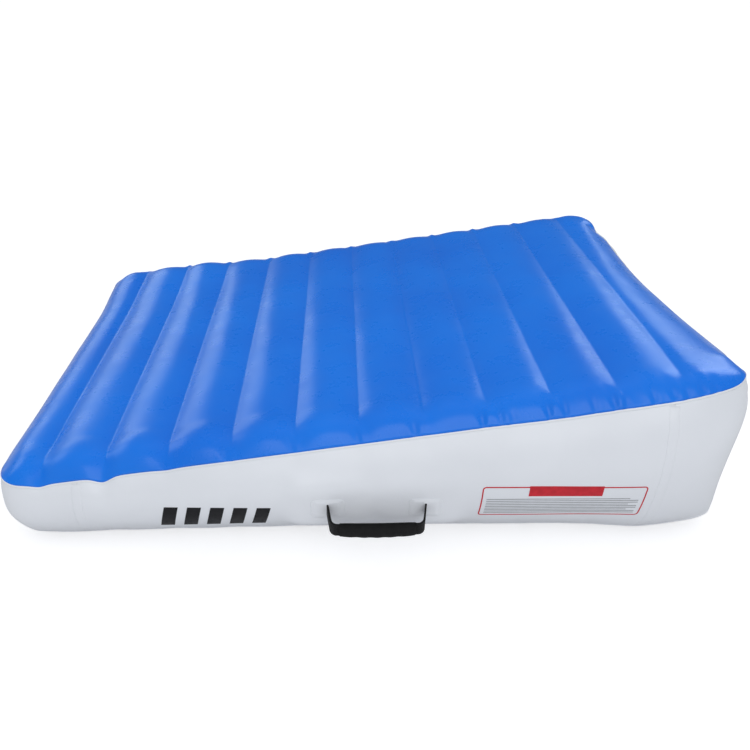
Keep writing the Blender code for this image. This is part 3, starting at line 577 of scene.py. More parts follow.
def bump(tree, height, strength, distance, normal=None):
    b = tree.nodes.new("ShaderNodeBump")
    b.inputs["Strength"].default_value = strength
    b.inputs["Distance"].default_value = distance
    tree.links.new(height, b.inputs["Height"])
    if normal is not None:
        tree.links.new(normal, b.inputs["Normal"])
    return b.outputs["Normal"]


def maths(tree, op, a, b=None):
    m = tree.nodes.new("ShaderNodeMath")
    m.operation = op
    for sock, val in ((m.inputs[0], a), (m.inputs[1], b)):
        if val is None:
            continue
        if isinstance(val, bpy.types.NodeSocket):
            tree.links.new(val, sock)
        else:
            sock.default_value = val
    return m.outputs[0]


def scrim(tree, vec, period):
    """The woven carrier cloth that shows faintly through a coated sheet."""
    sep = tree.nodes.new("ShaderNodeSeparateXYZ")
    tree.links.new(vec, sep.inputs[0])
    k = 2 * math.pi / period
    a = maths(tree, "SINE", maths(tree, "MULTIPLY", maths(tree, "ADD", sep.outputs[0], sep.outputs[2]), k))
    b = maths(tree, "SINE", maths(tree, "MULTIPLY", maths(tree, "ADD", sep.outputs[1], maths(tree, "MULTIPLY", sep.outputs[2], 0.37)), k))
    return maths(tree, "ADD", a, b)


def pvc(name, colour, dark, rough, coat, low_darkening=0.0, spec=0.5, weave_=0.008):
    mat, tree, sh = shader(name)
    vec = coords(tree)
    col = mix_colour(tree, remap(tree, noise(tree, vec, 3.0, 3.0), 0.35, 0.7, 0.0, 1.0), colour, dark)
    if low_darkening:
        # the wall is made darker and patchy grey-brown from the ground up to 0.10 m
        sep = tree.nodes.new("ShaderNodeSeparateXYZ")
        tree.links.new(vec, sep.inputs[0])
        low = remap(tree, sep.outputs[2], 0.0, 0.10, 1.0, 0.0)
        spots = remap(tree, noise(tree, vec, 28.0, 5.0, 0.65), 0.46, 0.72, 0.0, 1.0)
        fac = maths(tree, "MULTIPLY", maths(tree, "MULTIPLY", low, spots), low_darkening)
        col = mix_colour(tree, fac, col, (0.40, 0.38, 0.35))
    tree.links.new(col, sh.inputs["Base Color"])
    r_ = remap(tree, noise(tree, vec, 14.0, 4.0, 0.6), 0.3, 0.7, rough - 0.05, rough + 0.06)
    tree.links.new(r_, sh.inputs["Roughness"])
    sh.inputs["IOR"].default_value = 1.52
    sh.inputs["Specular IOR Level"].default_value = spec
    sh.inputs["Coat Weight"].default_value = coat
    sh.inputs["Coat Roughness"].default_value = 0.22
    n1 = bump(tree, noise(tree, vec, 9.0, 0.0), 0.25, 0.0012)
    tree.links.new(n1, sh.inputs["Normal"])
    weave = remap(tree, scrim(tree, vec, 0.0022), -2.0, 2.0, -weave_, weave_)
    tree.links.new(maths(tree, "ADD", r_, weave), sh.inputs["Roughness"])
    return mat


BLUE = pvc("blue_coated_sheet", (0.002, 0.196, 0.850), (0.0015, 0.168, 0.790), 0.29, 0.10, spec=0.42, weave_=0.003)
WHITE = pvc("white_coated_sheet", (0.80, 0.825, 0.87), (0.76, 0.785, 0.83), 0.36, 0.12, low_darkening=0.35)
# the weld strip is real; its lighter, bluer white than the wall is a painted highlight along the seam
WHITE_STRIP_PAINTED_HIGHLIGHT = pvc("white_weld_strip_painted_highlight", (0.84, 0.86, 0.90), (0.80, 0.82, 0.86), 0.33, 0.15)


def webbing_material():
    mat, tree, sh = shader("black_webbing")
    uv = tree.nodes.new("ShaderNodeUVMap").outputs[0]
    sep = tree.nodes.new("ShaderNodeSeparateXYZ")
    tree.links.new(uv, sep.inputs[0])
    k = 2 * math.pi / 0.0021
    a = maths(tree, "SINE", maths(tree, "MULTIPLY", sep.outputs[0], k))
    b = maths(tree, "SINE", maths(tree, "MULTIPLY", sep.outputs[1], k * 1.25))
    cross = maths(tree, "MULTIPLY", a, b)
    rib = maths(tree, "ABSOLUTE", maths(tree, "SINE", maths(tree, "MULTIPLY", sep.outputs[0], k / 2)))
    height = maths(tree, "ADD", cross, rib)
    fuzz = noise(tree, coords(tree), 1400.0, 3.0, 0.7)
    col = mix_colour(tree, remap(tree, height, -1.0, 2.0, 0.0, 1.0), (0.003, 0.003, 0.0035), (0.010, 0.010, 0.011))
    col = mix_colour(tree, remap(tree, fuzz, 0.55, 0.8, 0.0, 0.25), col, (0.03, 0.03, 0.031))
    tree.links.new(col, sh.inputs["Base Color"])
    sh.inputs["Roughness"].default_value = 0.72
    sh.inputs["Specular IOR Level"].default_value = 0.22
    sh.inputs["Sheen Weight"].default_value = 0.06
    sh.inputs["Sheen Roughness"].default_value = 0.5
    tree.links.new(bump(tree, fuzz, 0.25, 0.0002, bump(tree, height, 0.7, 0.00035)), sh.inputs["Normal"])
    return mat


def moulded(name, colour, rough, grain=700.0, strength=0.25, wear_and_edge_highlight=0.0, spec=0.5):
    mat, tree, sh = shader(name)
    vec = coords(tree)
    n_ = noise(tree, vec, 60.0, 3.0)
    light = tuple(min(1.0, c * 1.25 + 0.002) for c in colour)
    sh.inputs["Specular IOR Level"].default_value = spec
    col = mix_colour(tree, remap(tree, n_, 0.35, 0.7, 0.0, 1.0), colour, light)
    if wear_and_edge_highlight:
        # convex edges are lightened: partly edge wear, partly a painted highlight along the edges
        geo = tree.nodes.new("ShaderNodeNewGeometry")
        edge = remap(tree, geo.outputs["Pointiness"], 0.52, 0.60, 0.0, wear_and_edge_highlight)
        col = mix_colour(tree, edge, col, tuple(min(1.0, c * 2.2 + 0.03) for c in colour))
    tree.links.new(col, sh.inputs["Base Color"])
    tree.links.new(remap(tree, noise(tree, vec, 120.0, 3.0), 0.3, 0.7, rough - 0.07, rough + 0.07), sh.inputs["Roughness"])
    tree.links.new(bump(tree, noise(tree, vec, grain, 2.0), strength, 0.00012), sh.inputs["Normal"])
    return mat


def steel(name):
    mat, tree, sh = shader(name)
    vec = coords(tree)
    tree.links.new(mix_colour(tree, noise(tree, vec, 300.0, 2.0), (0.52, 0.53, 0.55), (0.66, 0.67, 0.69)), sh.inputs["Base Color"])
    sh.inputs["Metallic"].default_value = 1.0
    tree.links.new(remap(tree, noise(tree, vec, 900.0, 2.0), 0.3, 0.7, 0.22, 0.36), sh.inputs["Roughness"])
    return mat


WEBBING = webbing_material()
# the grip's lightened edges are partly wear, partly a painted highlight along its top edge
GRIP = moulded("black_grip_rubber", (0.004, 0.004, 0.0045), 0.55, 1200.0, 0.35, wear_and_edge_highlight=0.3, spec=0.22)
SEAL = moulded("seal_rubber", (0.016, 0.016, 0.016), 0.7)
VALVE_GREY = moulded("valve_plastic", (0.10, 0.105, 0.112), 0.42, 900.0, 0.2, wear_and_edge_highlight=0.5)
VALVE_STEM = moulded("stem_plastic", (0.56, 0.57, 0.58), 0.42, 900.0, 0.2)
VALVE_RED = moulded("button_plastic", (0.50, 0.03, 0.022), 0.38, 900.0, 0.2)
SPRING = steel("spring_wire")
WEB_CLOTH = pvc("web_cloth", (0.62, 0.63, 0.65), (0.56, 0.57, 0.59), 0.55, 0.0, weave_=0.05)
INK_DARK = moulded("dark_print", (0.006, 0.006, 0.008), 0.45, 500.0, 0.08, spec=0.25)
INK_RED = moulded("red_print", (0.50, 0.014, 0.026), 0.42, 500.0, 0.08, spec=0.3)
INK_GREY = moulded("grey_print", (0.27, 0.28, 0.30), 0.42, 500.0, 0.08)
INK_WHITE = moulded("white_print", (0.80, 0.80, 0.81), 0.40, 500.0, 0.08)


# ------------------------------------------------------------------ skins cut from the fine mesh
def link(name, mesh, mats):
    mesh.materials.clear()
    for m in mats:
        mesh.materials.append(m)
    obj = bpy.data.objects.new(name, mesh)
    bpy.context.scene.collection.objects.link(obj)
    return obj


def build(name, verts, faces, mat, smooth_angle=None):
    mesh = bpy.data.meshes.new(name)
    mesh.from_pydata([tuple(map(float, v)) for v in verts], [], [tuple(int(q) for q in f) for f in faces])
    mesh.update()
    bm = bmesh.new()
    bm.from_mesh(mesh)
    bmesh.ops.recalc_face_normals(bm, faces=bm.faces)
    bm.to_mesh(mesh)
    bm.free()
    mesh.shade_smooth()
    if smooth_angle:
        mesh.set_sharp_from_angle(angle=math.radians(smooth_angle))
    return link(name, mesh, [mat])


n_loops = len(fine.loops)
LV = np.empty(n_loops, np.int32)
fine.loops.foreach_get("vertex_index", LV)
LV = LV.reshape(-1, 4)
MI = np.empty(len(fine.polygons), np.int32)
fine.polygons.foreach_get("material_index", MI)
SKIN_T = 0.0009


def skin(name, tag, mat, node_name, hole=None):
    quads = LV[MI == tag]
    if hole is not None:
        rr = np.hypot(C[:, 1] - VALVE_Y, C[:, 2] - VALVE_Z)
        quads = quads[(rr[quads] > 0.0212).all(axis=1)]
    used, inv = np.unique(quads, return_inverse=True)
    pts = C[used].copy()
    quads = inv.reshape(-1, 4)
    if hole is not None:
        # the cut edge is drawn onto a clean circle
        edges = {}
        for q in quads:
            for a, b in zip(q, np.roll(q, -1)):
                key = (min(a, b), max(a, b))
                edges[key] = edges.get(key, 0) + 1
        rim_v = {v for e_, n_ in edges.items() if n_ == 1 for v in e_}
        for v in rim_v:
            p = pts[v]
            dy, dz = p[1] - VALVE_Y, p[2] - VALVE_Z
            rr = math.hypot(dy, dz)
            if rr < 0.04:
                p[1], p[2] = VALVE_Y + dy / rr * 0.0212, VALVE_Z + dz / rr * 0.0212
    mesh = bpy.data.meshes.new(name)
    mesh.vertices.add(len(pts))
    mesh.vertices.foreach_set("co", pts.astype(np.float32).ravel())
    mesh.loops.add(len(quads) * 4)
    mesh.loops.foreach_set("vertex_index", quads.astype(np.int32).ravel())
    mesh.polygons.add(len(quads))
    mesh.polygons.foreach_set("loop_start", np.arange(0, len(quads) * 4, 4, dtype=np.int32))
    mesh.update(calc_edges=True)
    mesh.validate()
    mesh.shade_smooth()
    obj = link(name, mesh, [mat])
    sol = obj.modifiers.new("thickness", "SOLIDIFY")
    sol.thickness = SKIN_T
    sol.offset = -1.0
    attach(obj, "ramp")
    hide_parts(node_name)
    return obj


skins = {}
skins["top"] = skin("top_sheet", 0, BLUE, "top_panel")
skins["bottom"] = skin("bottom_sheet", 1, WHITE, "bottom_panel")
skins["near"] = skin("near_wall_sheet", 2, WHITE, "near_side_wall")
skins["high"] = skin("tall_end_sheet", 3, WHITE, "high_end_wall", hole=True)
skins["far"] = skin("far_wall_sheet", 4, WHITE, "far_side_wall")
skins["low"] = skin("low_end_sheet", 5, WHITE, "low_end_wall")

tree_all = BVHTree.FromPolygons([tuple(map(float, p)) for p in C], [tuple(int(q) for q in f) for f in LV])


def on_wall(x, z, side, lift=0.0):
    """Point on the long side wall at (x, z), lifted off its surface, and its normal."""
    hit, nrm, _, _ = tree_all.ray_cast(Vector((x, side * 2.0, z)), Vector((0, -side, 0)))
    if hit is None:
        hit, nrm = Vector((x, side * HW, z)), Vector((0, side, 0))
    if nrm.y * side < 0:
        nrm = -nrm
    return hit + nrm * lift, nrm


# ------------------------------------------------------------------ weld strips
def resample(points, step):
    pts = [Vector(p) for p in points]
    out = []
    n_ = len(pts)
    for k in range(n_):
        p0, p1, p2, p3 = pts[k - 1], pts[k], pts[(k + 1) % n_], pts[(k + 2) % n_]
        m = max(1, int(round((p2 - p1).length / step)))
        for s in range(m):
            t = s / m
            out.append(0.5 * ((2 * p1) + (p2 - p0) * t + (2 * p0 - 5 * p1 + 4 * p2 - p3) * t * t
                              + (3 * p1 - p0 - 3 * p2 + p3) * t ** 3))
    return out


def boundary_loop(tag_a, tags_b):
    """The fine mesh's edge loop between two groups of faces."""
    ea, eb = set(), set()
    for q in LV[MI == tag_a]:
        for a, b in zip(q, np.roll(q, -1)):
            ea.add((min(a, b), max(a, b)))
    for q in LV[np.isin(MI, tags_b)]:
        for a, b in zip(q, np.roll(q, -1)):
            eb.add((min(a, b), max(a, b)))
    both = ea & eb
    nxt = {}
    for a, b in both:
        nxt.setdefault(int(a), []).append(int(b))
        nxt.setdefault(int(b), []).append(int(a))
    start = min(nxt)
    loop, prev, cur = [start], None, start
    while True:
        step_to = [v for v in nxt[cur] if v != prev]
        prev, cur = cur, step_to[0]
        if cur == start:
            break
        loop.append(cur)
    return loop


fine_n = np.empty(NV * 3, np.float32)
fine.vertex_normals.foreach_get("vector", fine_n)
fine_n = fine_n.reshape(-1, 3).astype(float)


def seam_strip(name, loop, up_w, down_w, lift, thick, top_side):
    """A welded strip folded over the seam: a few millimetres on the sheet, more on the wall."""
    n_ = len(loop)
    P = [Vector(C[v]) for v in loop]
    ring_pts = []
    for k in range(n_):
        along = (P[(k + 1) % n_] - P[k - 1]).normalized()
        nm = Vector(fine_n[loop[k]])
        nm = (nm - along * nm.dot(along)).normalized()
        vertical = Vector((0, 0, 1))
        out = Vector((nm.x, nm.y, 0)).normalized()
        sheet_n = Vector((0, 0, 1.0 if top_side else -1.0))
        inward = -out
        down = Vector((0, 0, -1.0 if top_side else 1.0))
        row = []
        for s_, d_ in (("sheet", up_w), ("sheet", up_w * 0.5), ("fold", 0), ("wall", down_w * 0.5), ("wall", down_w)):
            if s_ == "sheet":
                guess = P[k] + inward * d_
            elif s_ == "wall":
                guess = P[k] + down * d_ + out * d_ * 0.3
            else:
                guess = P[k]
            hit, hn, _, _ = tree_all.find_nearest(guess)
            if hn.dot(nm) < 0:
                hn = -hn
            if s_ == "fold":
                hn = nm
            row.append((hit, hn))
        ring_pts.append(row)
    verts, faces = [], []
    m = 5
    for row in ring_pts:
        for q, (p, hn) in enumerate(row):
            verts.append(p + hn * (lift + thick * (0.25 if q in (0, m - 1) else 1.0)))
        for q, (p, hn) in enumerate(row):
            verts.append(p + hn * lift * 0.2)
    st = 2 * m
    for k in range(n_):
        a, b = k * st, ((k + 1) % n_) * st
        for q in range(m - 1):
            faces.append((a + q, a + q + 1, b + q + 1, b + q))
            faces.append((a + m + q, b + m + q, b + m + q + 1, a + m + q + 1))
        faces.append((a, b, b + m, a + m))
        faces.append((a + m - 1, a + 2 * m - 1, b + 2 * m - 1, b + m - 1))
    # the strip's lighter white is a painted highlight line along the seam
    obj = build(name, verts, faces, WHITE_STRIP_PAINTED_HIGHLIGHT)
    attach(obj, "ramp")
    return obj


seam_strip("top_weld_strip", boundary_loop(0, [2, 3, 4, 5]), 0.0012, 0.0050, 0.0003, 0.0009, True)
seam_strip("bottom_weld_strip", boundary_loop(1, [2, 3, 4, 5]), 0.010, 0.012, 0.0003, 0.0008, False)


def lap_strip(name, x_at, side, width, toward):
    """The end wall's edge, lapped over the side wall."""
    c_near = [c for c in (near_cols if side < 0 else far_cols)]
    c = min(c_near, key=lambda q: abs(V[W[7, q], 0] - x_at))
    zs = V[W[:, c], 2]
    z0, z1 = zs[0] + 0.008, zs[-1] - 0.0045
    rows = 44
    prof = (0.0, 0.0012, 0.012, width - 0.0012, width)
    verts, faces = [], []
    for k in range(rows + 1):
        z = z0 + (z1 - z0) * k / rows
        wob = 0.0006 * math.sin(k * 0.9 + side)
        for q, w_ in enumerate(prof):
            p, n_ = on_wall(x_at + toward * (w_ + wob), z, side, 0.00045 if q not in (0, len(prof) - 1) else 0.00015)
            verts.append(p)
        for q, w_ in enumerate(prof):
            p, n_ = on_wall(x_at + toward * (w_ + wob), z, side, 0.00005)
            verts.append(p)
    m = len(prof)
    for k in range(rows):
        a, b = k * 2 * m, (k + 1) * 2 * m
        for q in range(m - 1):
            faces.append((a + q, a + q + 1, b + q + 1, b + q))
            faces.append((a + m + q, b + m + q, b + m + q + 1, a + m + q + 1))
        faces.append((a, b, b + m, a + m))
        faces.append((a + m - 1, a + 2 * m - 1, b + 2 * m - 1, b + m - 1))
    for a in (0, rows * 2 * m):
        for q in range(m - 1):
            faces.append((a + q, a + m + q, a + m + q + 1, a + q + 1))
    obj = build(name, verts, faces, WHITE)
    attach(obj, "ramp")
    return obj


for side, tag in ((-1, "near"), (1, "far")):
    lap_strip(tag + "_lap_low", LAP_LOW - 0.0125, side, 0.025, 1)
    lap_strip(tag + "_lap_high", LAP_HIGH - 0.0125, side, 0.025, 1)


# ------------------------------------------------------------------ carry handles
def ribbon(name, path, normals, half_heights, up, thick, mat, edge=0.0005):
    """A strap with a rounded rectangular section.  path points, normals across the thickness."""
    sec = []
    for hz, ty in ((-1, -0.45), (-0.965, -1), (-0.5, -1), (0, -1), (0.5, -1), (0.965, -1), (1, -0.45),
                   (1, 0.45), (0.965, 1), (0.5, 1), (0, 1), (-0.5, 1), (-0.965, 1), (-1, 0.45)):
        sec.append((hz, ty))
    m = len(sec)
    verts, faces, uvs = [], [], []
    run = 0.0
    for k, (p, n_, h) in enumerate(zip(path, normals, half_heights)):
        if k:
            run += (p - path[k - 1]).length
        u_ = up[k] if isinstance(up, list) else up
        for hz, ty in sec:
            verts.append(p + u_ * (hz * h) + n_ * (ty * thick / 2))
            uvs.append((run, hz * h))
    for k in range(len(path) - 1):
        a, b = k * m, (k + 1) * m
        for q in range(m):
            faces.append((a + q, a + (q + 1) % m, b + (q + 1) % m, b + q))
    faces.append(tuple(range(m)))
    faces.append(tuple((len(path) - 1) * m + q for q in reversed(range(m))))
    obj = build(name, verts, faces, mat, 50)
    uv = obj.data.uv_layers.new(name="weave")
    for lp in obj.data.loops:
        uv.data[lp.index].uv = uvs[lp.vertex_index]
    return obj


def sag(x, r):
    return (DROP + SAG * max(0.0, 1 - (x / 0.112) ** 2)) * min(1.0, max(0.0, r) / REACH)


def handle(side):
    tag = "near" if side < 0 else "far"
    turn = 0.0 if side < 0 else math.pi
    place = (Matrix.Translation((0, side * (HANDLE_Y + AXIS_OUT), HANDLE_Z)) @ Matrix.Rotation(turn, 4, "Z"))
    # local frame: X along the wall, -Y out, Z up; the legs fall towards the band
    pts, nrm, half, ups = [], [], [], []

    def add(x, r, n_, h):
        pts.append(place @ Vector((x, -r, -sag(x, r))))
        nrm.append((place.to_3x3() @ Vector(n_)).normalized())
        ups.append((place.to_3x3() @ Vector((0, 0, 1))).normalized())
        half.append(h)

    H = 0.0190
    length = math.hypot(LEAN, REACH)
    dx, dr = LEAN / length, REACH / length
    turn_ = math.atan2(REACH, LEAN)
    back = BEND_R * math.tan(turn_ / 2)
    bx = -SPAN + LEAN - dx * back + dr * BEND_R
    br = REACH - BEND_R
    r_end = REACH - back * dr
    half_path = []
    for r_, h in ((-0.0042, 0.0150), (-0.0020, 0.0165), (0.0015, 0.0175), (0.006, 0.0183), (0.012, H), (0.018, H),
                  (0.024, H), (0.030, H), (0.036, H)):
        half_path.append((-SPAN + LEAN * max(r_, 0.0) / REACH, r_, (-dr, -dx), h))
    for k in range(0, 11):
        a = math.pi / 2 + turn_ * (1 - k / 10)
        half_path.append((bx + BEND_R * math.cos(a), br + BEND_R * math.sin(a), (math.cos(a), math.sin(a)), H))
    for k in range(1, 12):
        half_path.append((bx * (1 - k / 12), REACH, (0.0, 1.0), H))
    middle = [(0.0, REACH, (0.0, 1.0), H)]
    right = [(-x, r_, (-n0, n1), h) for x, r_, (n0, n1), h in reversed(half_path)]
    for x, r_, (n0, n1), h in half_path + middle + right:
        add(x, r_, (n0, -n1, 0), h)
    strap = ribbon(tag + "_carry_strap", pts, nrm, half, ups, 0.0054, WEBBING)
    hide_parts(tag + "_handle_strap")
    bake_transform(strap)

    # moulded grip: flattened sleeve, finger scallops below, ribs on its face, end collars
    verts, faces = [], []
    st, m = 110, 44
    gh, gt, half_l, belly = 0.0215, 0.0080, GRIP_HALF, 0.0047
    rings = []
    for s in range(st + 1):
        f = s / st
        x = -half_l + 2 * half_l * f
        e_ = abs(2 * f - 1)
        end = 1 - 0.10 * e_ ** 14
        collar = 0.0007 * math.exp(-((e_ - 0.965) / 0.014) ** 2)
        low = belly * (1 - e_ * e_)
        finger = 0.0016 * (0.5 - 0.5 * math.cos(2 * math.pi * 4 * (f - 0.14) / 0.72)) if 0.14 < f < 0.86 else 0.0
        rib = 0.00050 * max(0.0, math.sin(2 * math.pi * 28 * (f - 0.10) / 0.80)) if 0.10 < f < 0.90 else 0.0
        ring = []
        for q in range(m):
            a = 2 * math.pi * q / m
            ca, sa = math.cos(a), math.sin(a)
            w_ = math.copysign(abs(ca) ** 0.75, ca) * (gt * end + collar)
            h_ = math.copysign(abs(sa) ** 0.62, sa) * (gh * end + collar)
            if ca > 0.2:
                w_ += rib * min(1.0, (1 - abs(sa)) * 2.2)
            if sa < 0:
                h_ += (finger - low) * (-sa) ** 1.2
            ring.append(len(verts))
            verts.append(place @ Vector((x, -(REACH + w_), h_ - sag(x, REACH))))
        rings.append(ring)
    bores = []
    for s in range(13):
        x = -half_l + 2 * half_l * s / 12
        ring = []
        for q in range(m):
            a = 2 * math.pi * q / m
            ca, sa = math.cos(a), math.sin(a)
            k = 1.0 / max(abs(ca), abs(sa))
            ring.append(len(verts))
            verts.append(place @ Vector((x, -(REACH + 0.0030 * ca * k), 0.0197 * sa * k - sag(x, REACH))))
        bores.append(ring)

    def bridge(r0, r1):
        for q in range(m):
            p = (q + 1) % m
            faces.append((r0[q], r0[p], r1[p], r1[q]))

    for r0, r1 in zip(rings, rings[1:]):
        bridge(r0, r1)
    bridge(bores[0], rings[0])
    bridge(rings[-1], bores[-1])
    for r0, r1 in zip(bores, bores[1:]):
        bridge(r1, r0)
    grip = build(tag + "_carry_grip", verts, faces, GRIP, 40)
    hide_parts(tag + "_handle_grip")
    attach(grip, tag + "_handle")

    # anchor patches follow the wall and hump over the sewn strap ends
    for name, sx in (("left", -1), ("right", 1)):
        cx_ = sx * SPAN * (1 if side < 0 else -1)
        nu, nv, hx, hz, corner = 44, 32, 0.044, 0.031, 0.013
        top_v, low_v = [], []
        for v_ in range(nv + 1):
            for u_ in range(nu + 1):
                x, z = (2 * u_ / nu - 1) * hx, (2 * v_ / nv - 1) * hz
                du, dv = abs(x) - (hx - corner), abs(z) - (hz - corner)
                if du > 0 and dv > 0:
                    a, b = du / corner, dv / corner
                    x = math.copysign(hx - corner + corner * a * math.sqrt(1 - b * b / 2), x)
                    z = math.copysign(hz - corner + corner * b * math.sqrt(1 - a * a / 2), z)
                rim_d = min(u_, nu - u_, (v_ if v_ < nv - v_ else nv - v_) * 1.0)
                ox, oz = max(0.0, abs(x) - 0.0265), max(0.0, abs(z) - 0.0200)
                fall = min(1.0, math.hypot(ox, oz) / 0.009)
                hump = (1 + math.cos(math.pi * fall)) / 2 * 0.0019
                lip = 0.0011 * math.exp(-((x + 0.010 * (1 if x < 0 else -1) * 0) / 0.0028) ** 2) * (abs(z) < 0.0205)
                edge = 0.35 if rim_d == 0 else 1.0
                p, n_ = on_wall(cx_ + x, HANDLE_Z + z, side)
                top_v.append(p + n_ * (0.0003 + hump + 0.0008 * edge + lip))
                low_v.append(p + n_ * (0.00008 + hump * 0.999))
        cnt = len(top_v)
        fs = []
        w1 = nu + 1
        for v_ in range(nv):
            for u_ in range(nu):
                a = v_ * w1 + u_
                fs.append((a, a + 1, a + w1 + 1, a + w1))
                fs.append((cnt + a, cnt + a + w1, cnt + a + w1 + 1, cnt + a + 1))
        ring = ([u_ for u_ in range(nu)] + [v_ * w1 + nu for v_ in range(nv)]
                + [nv * w1 + u_ for u_ in range(nu, 0, -1)] + [v_ * w1 for v_ in range(nv, 0, -1)])
        for a, b in zip(ring, ring[1:] + ring[:1]):
            fs.append((a, cnt + a, cnt + b, b))
        patch = build("%s_anchor_patch_%s" % (tag, name), top_v + low_v, fs, WHITE)
        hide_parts("%s_handle_patch_%s" % (tag, name))
        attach(patch, "ramp")


handle(-1)
handle(1)


# ------------------------------------------------------------------ plain prints on the near wall
def print_shape(name, quads, mat, lift=0.00025, thick=0.00025, step=0.008):
    """Quads given as four (x, z) corners, laid on the near wall as thin ink films."""
    verts, faces = [], []
    for quad in quads:
        (x0, z0), (x1, z1), (x2, z2), (x3, z3) = quad
        nu = max(1, int(math.ceil(max(math.hypot(x1 - x0, z1 - z0), math.hypot(x2 - x3, z2 - z3)) / step)))
        nv = max(1, int(math.ceil(max(math.hypot(x3 - x0, z3 - z0), math.hypot(x2 - x1, z2 - z1)) / step)))
        o = len(verts)
        w1 = nu + 1
        for layer in (lift + thick, lift * 0.3):
            for v_ in range(nv + 1):
                for u_ in range(nu + 1):
                    a, b = u_ / nu, v_ / nv
                    x = (x0 * (1 - a) + x1 * a) * (1 - b) + (x3 * (1 - a) + x2 * a) * b
                    z = (z0 * (1 - a) + z1 * a) * (1 - b) + (z3 * (1 - a) + z2 * a) * b
                    p, n_ = on_wall(x, z, -1, layer)
                    verts.append(p)
        cnt = w1 * (nv + 1)
        for v_ in range(nv):
            for u_ in range(nu):
                a = o + v_ * w1 + u_
                faces.append((a, a + 1, a + w1 + 1, a + w1))
                faces.append((cnt + a, cnt + a + w1, cnt + a + w1 + 1, cnt + a + 1))
        ring = ([u_ for u_ in range(nu)] + [v_ * w1 + nu for v_ in range(nv)]
                + [nv * w1 + u_ for u_ in range(nu, 0, -1)] + [v_ * w1 for v_ in range(nv, 0, -1)])
        for a, b in zip(ring, ring[1:] + ring[:1]):
            faces.append((o + a, o + cnt + a, o + cnt + b, o + b))
    obj = build(name, verts, faces, mat, 30)
    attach(obj, "ramp")
    return obj


def ring_quads(x0, z0, x1, z1, w_, r_):
    """A rounded rectangular frame as quads."""
    def corner_path(inset):
        pts = []
        rr = max(0.0005, r_ - inset)
        for cx_, cz, a0 in ((x1 - r_, z1 - r_, 0), (x0 + r_, z1 - r_, 90), (x0 + r_, z0 + r_, 180), (x1 - r_, z0 + r_, 270)):
            for k in range(5):
                a = math.radians(a0 + 90 * k / 4)
                pts.append((cx_ + rr * math.cos(a), cz + rr * math.sin(a)))
        return pts
    outer, inner = corner_path(0), corner_path(w_)
    return [(outer[k], outer[(k + 1) % 20], inner[(k + 1) % 20], inner[k]) for k in range(20)]


def slanted(x0, z0, x1, z1, lean_):
    return ((x0, z0), (x1, z0), (x1 + lean_, z1), (x0 + lean_, z1))


bars = [slanted(-0.572 + 0.060 * k, 0.082, -0.572 + 0.060 * k + 0.036, 0.158, 0.020) for k in range(5)]
print_shape("plain_slanted_bars", bars, INK_DARK)
LX0, LX1, LZ0, LZ1 = 0.272, 0.708, 0.120, 0.234
print_shape("plain_label_frame", ring_quads(LX0, LZ0, LX1, LZ1, 0.0035, 0.010), INK_RED)
print_shape("plain_label_band", [((0.395, 0.202), (0.590, 0.202), (0.590, 0.236), (0.395, 0.236))], INK_RED)
rows = []
for k in range(9):
    z = 0.191 - 0.0072 * k
    a, b = (LX0 + 0.014, LX1 - 0.016) if k % 3 else (LX0 + 0.014, LX1 - 0.040)
    rows.append(((a, z - 0.0012), (b, z - 0.0012), (b, z + 0.0012), (a, z + 0.0012)))
print_shape("plain_label_rules", rows, INK_GREY)

# ------------------------------------------------------------------ the valve's spring, as a wire coil
def coil_spring():
    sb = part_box("valve_spring")
    wire, coil_r, turns, per, m = 0.00040, 0.0040, 5, 26, 10
    a0, a1 = sb[0][0] + wire, sb[1][0] - wire
    total = turns * per
    verts, faces = [], []
    for k in range(total + 1):
        ang = 2 * math.pi * k / per
        spoke = Vector((0, math.cos(ang), math.sin(ang)))
        mid = Vector((a0 + (a1 - a0) * k / total, VALVE_Y, VALVE_Z)) + spoke * coil_r
        for q in range(m):
            b = 2 * math.pi * q / m
            verts.append(mid + spoke * (wire * math.cos(b)) + Vector((wire * math.sin(b), 0, 0)))
    for k in range(total):
        for q in range(m):
            a, b = k * m + q, k * m + (q + 1) % m
            faces.append((a, b, b + m, a + m))
    faces.append(tuple(range(m)))
    faces.append(tuple(total * m + q for q in reversed(range(m))))
    obj = build("plunger_coil_spring", verts, faces, SPRING, 60)
    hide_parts("valve_spring")
    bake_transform(obj)


coil_spring()

# ------------------------------------------------------------------ finishes for the CAD's own pieces
FINISH = {"web_fabric": WEB_CLOTH, "webbing": WEBBING, "grip_rubber": GRIP, "seal_rubber": SEAL,
          "valve_plastic": VALVE_GREY, "stem_plastic": VALVE_STEM, "button_plastic": VALVE_RED,
          "spring_steel": SPRING, "white_pvc": WHITE, "blue_pvc": BLUE}
slot_of = {s["node"]: s["material_slot"] for s in frame["record"]["subparts"]}
for name, obj in frame["nodes"].items():
    mat = FINISH[slot_of[name]]
    if slot_of[name] == "webbing":
        mat = GRIP
    for ms in obj.material_slots:
        ms.material = mat
    if not obj.material_slots:
        obj.data.materials.append(mat)

# ------------------------------------------------------------------ stage, light, camera
floor_mesh = bpy.data.meshes.new("floor")
floor_mesh.from_pydata([(-30, -30, -0.0006), (30, -30, -0.0006), (30, 30, -0.0006), (-30, 30, -0.0006)], [], [(0, 1, 2, 3)])
floor = bpy.data.objects.new("floor", floor_mesh)
bpy.context.scene.collection.objects.link(floor)
fm, ft, fs_ = shader("pale_floor")
fs_.inputs["Base Color"].default_value = (0.68, 0.68, 0.69, 1)
fs_.inputs["Roughness"].default_value = 0.9
fs_.inputs["Specular IOR Level"].default_value = 0.1
fpath = ft.nodes.new("ShaderNodeLightPath")
fs_.inputs["Emission Color"].default_value = (1, 1, 1, 1)
ft.links.new(remap(ft, fpath.outputs["Is Camera Ray"], 0.0, 1.0, 0.0, 0.54), fs_.inputs["Emission Strength"])
floor_mesh.materials.append(fm)

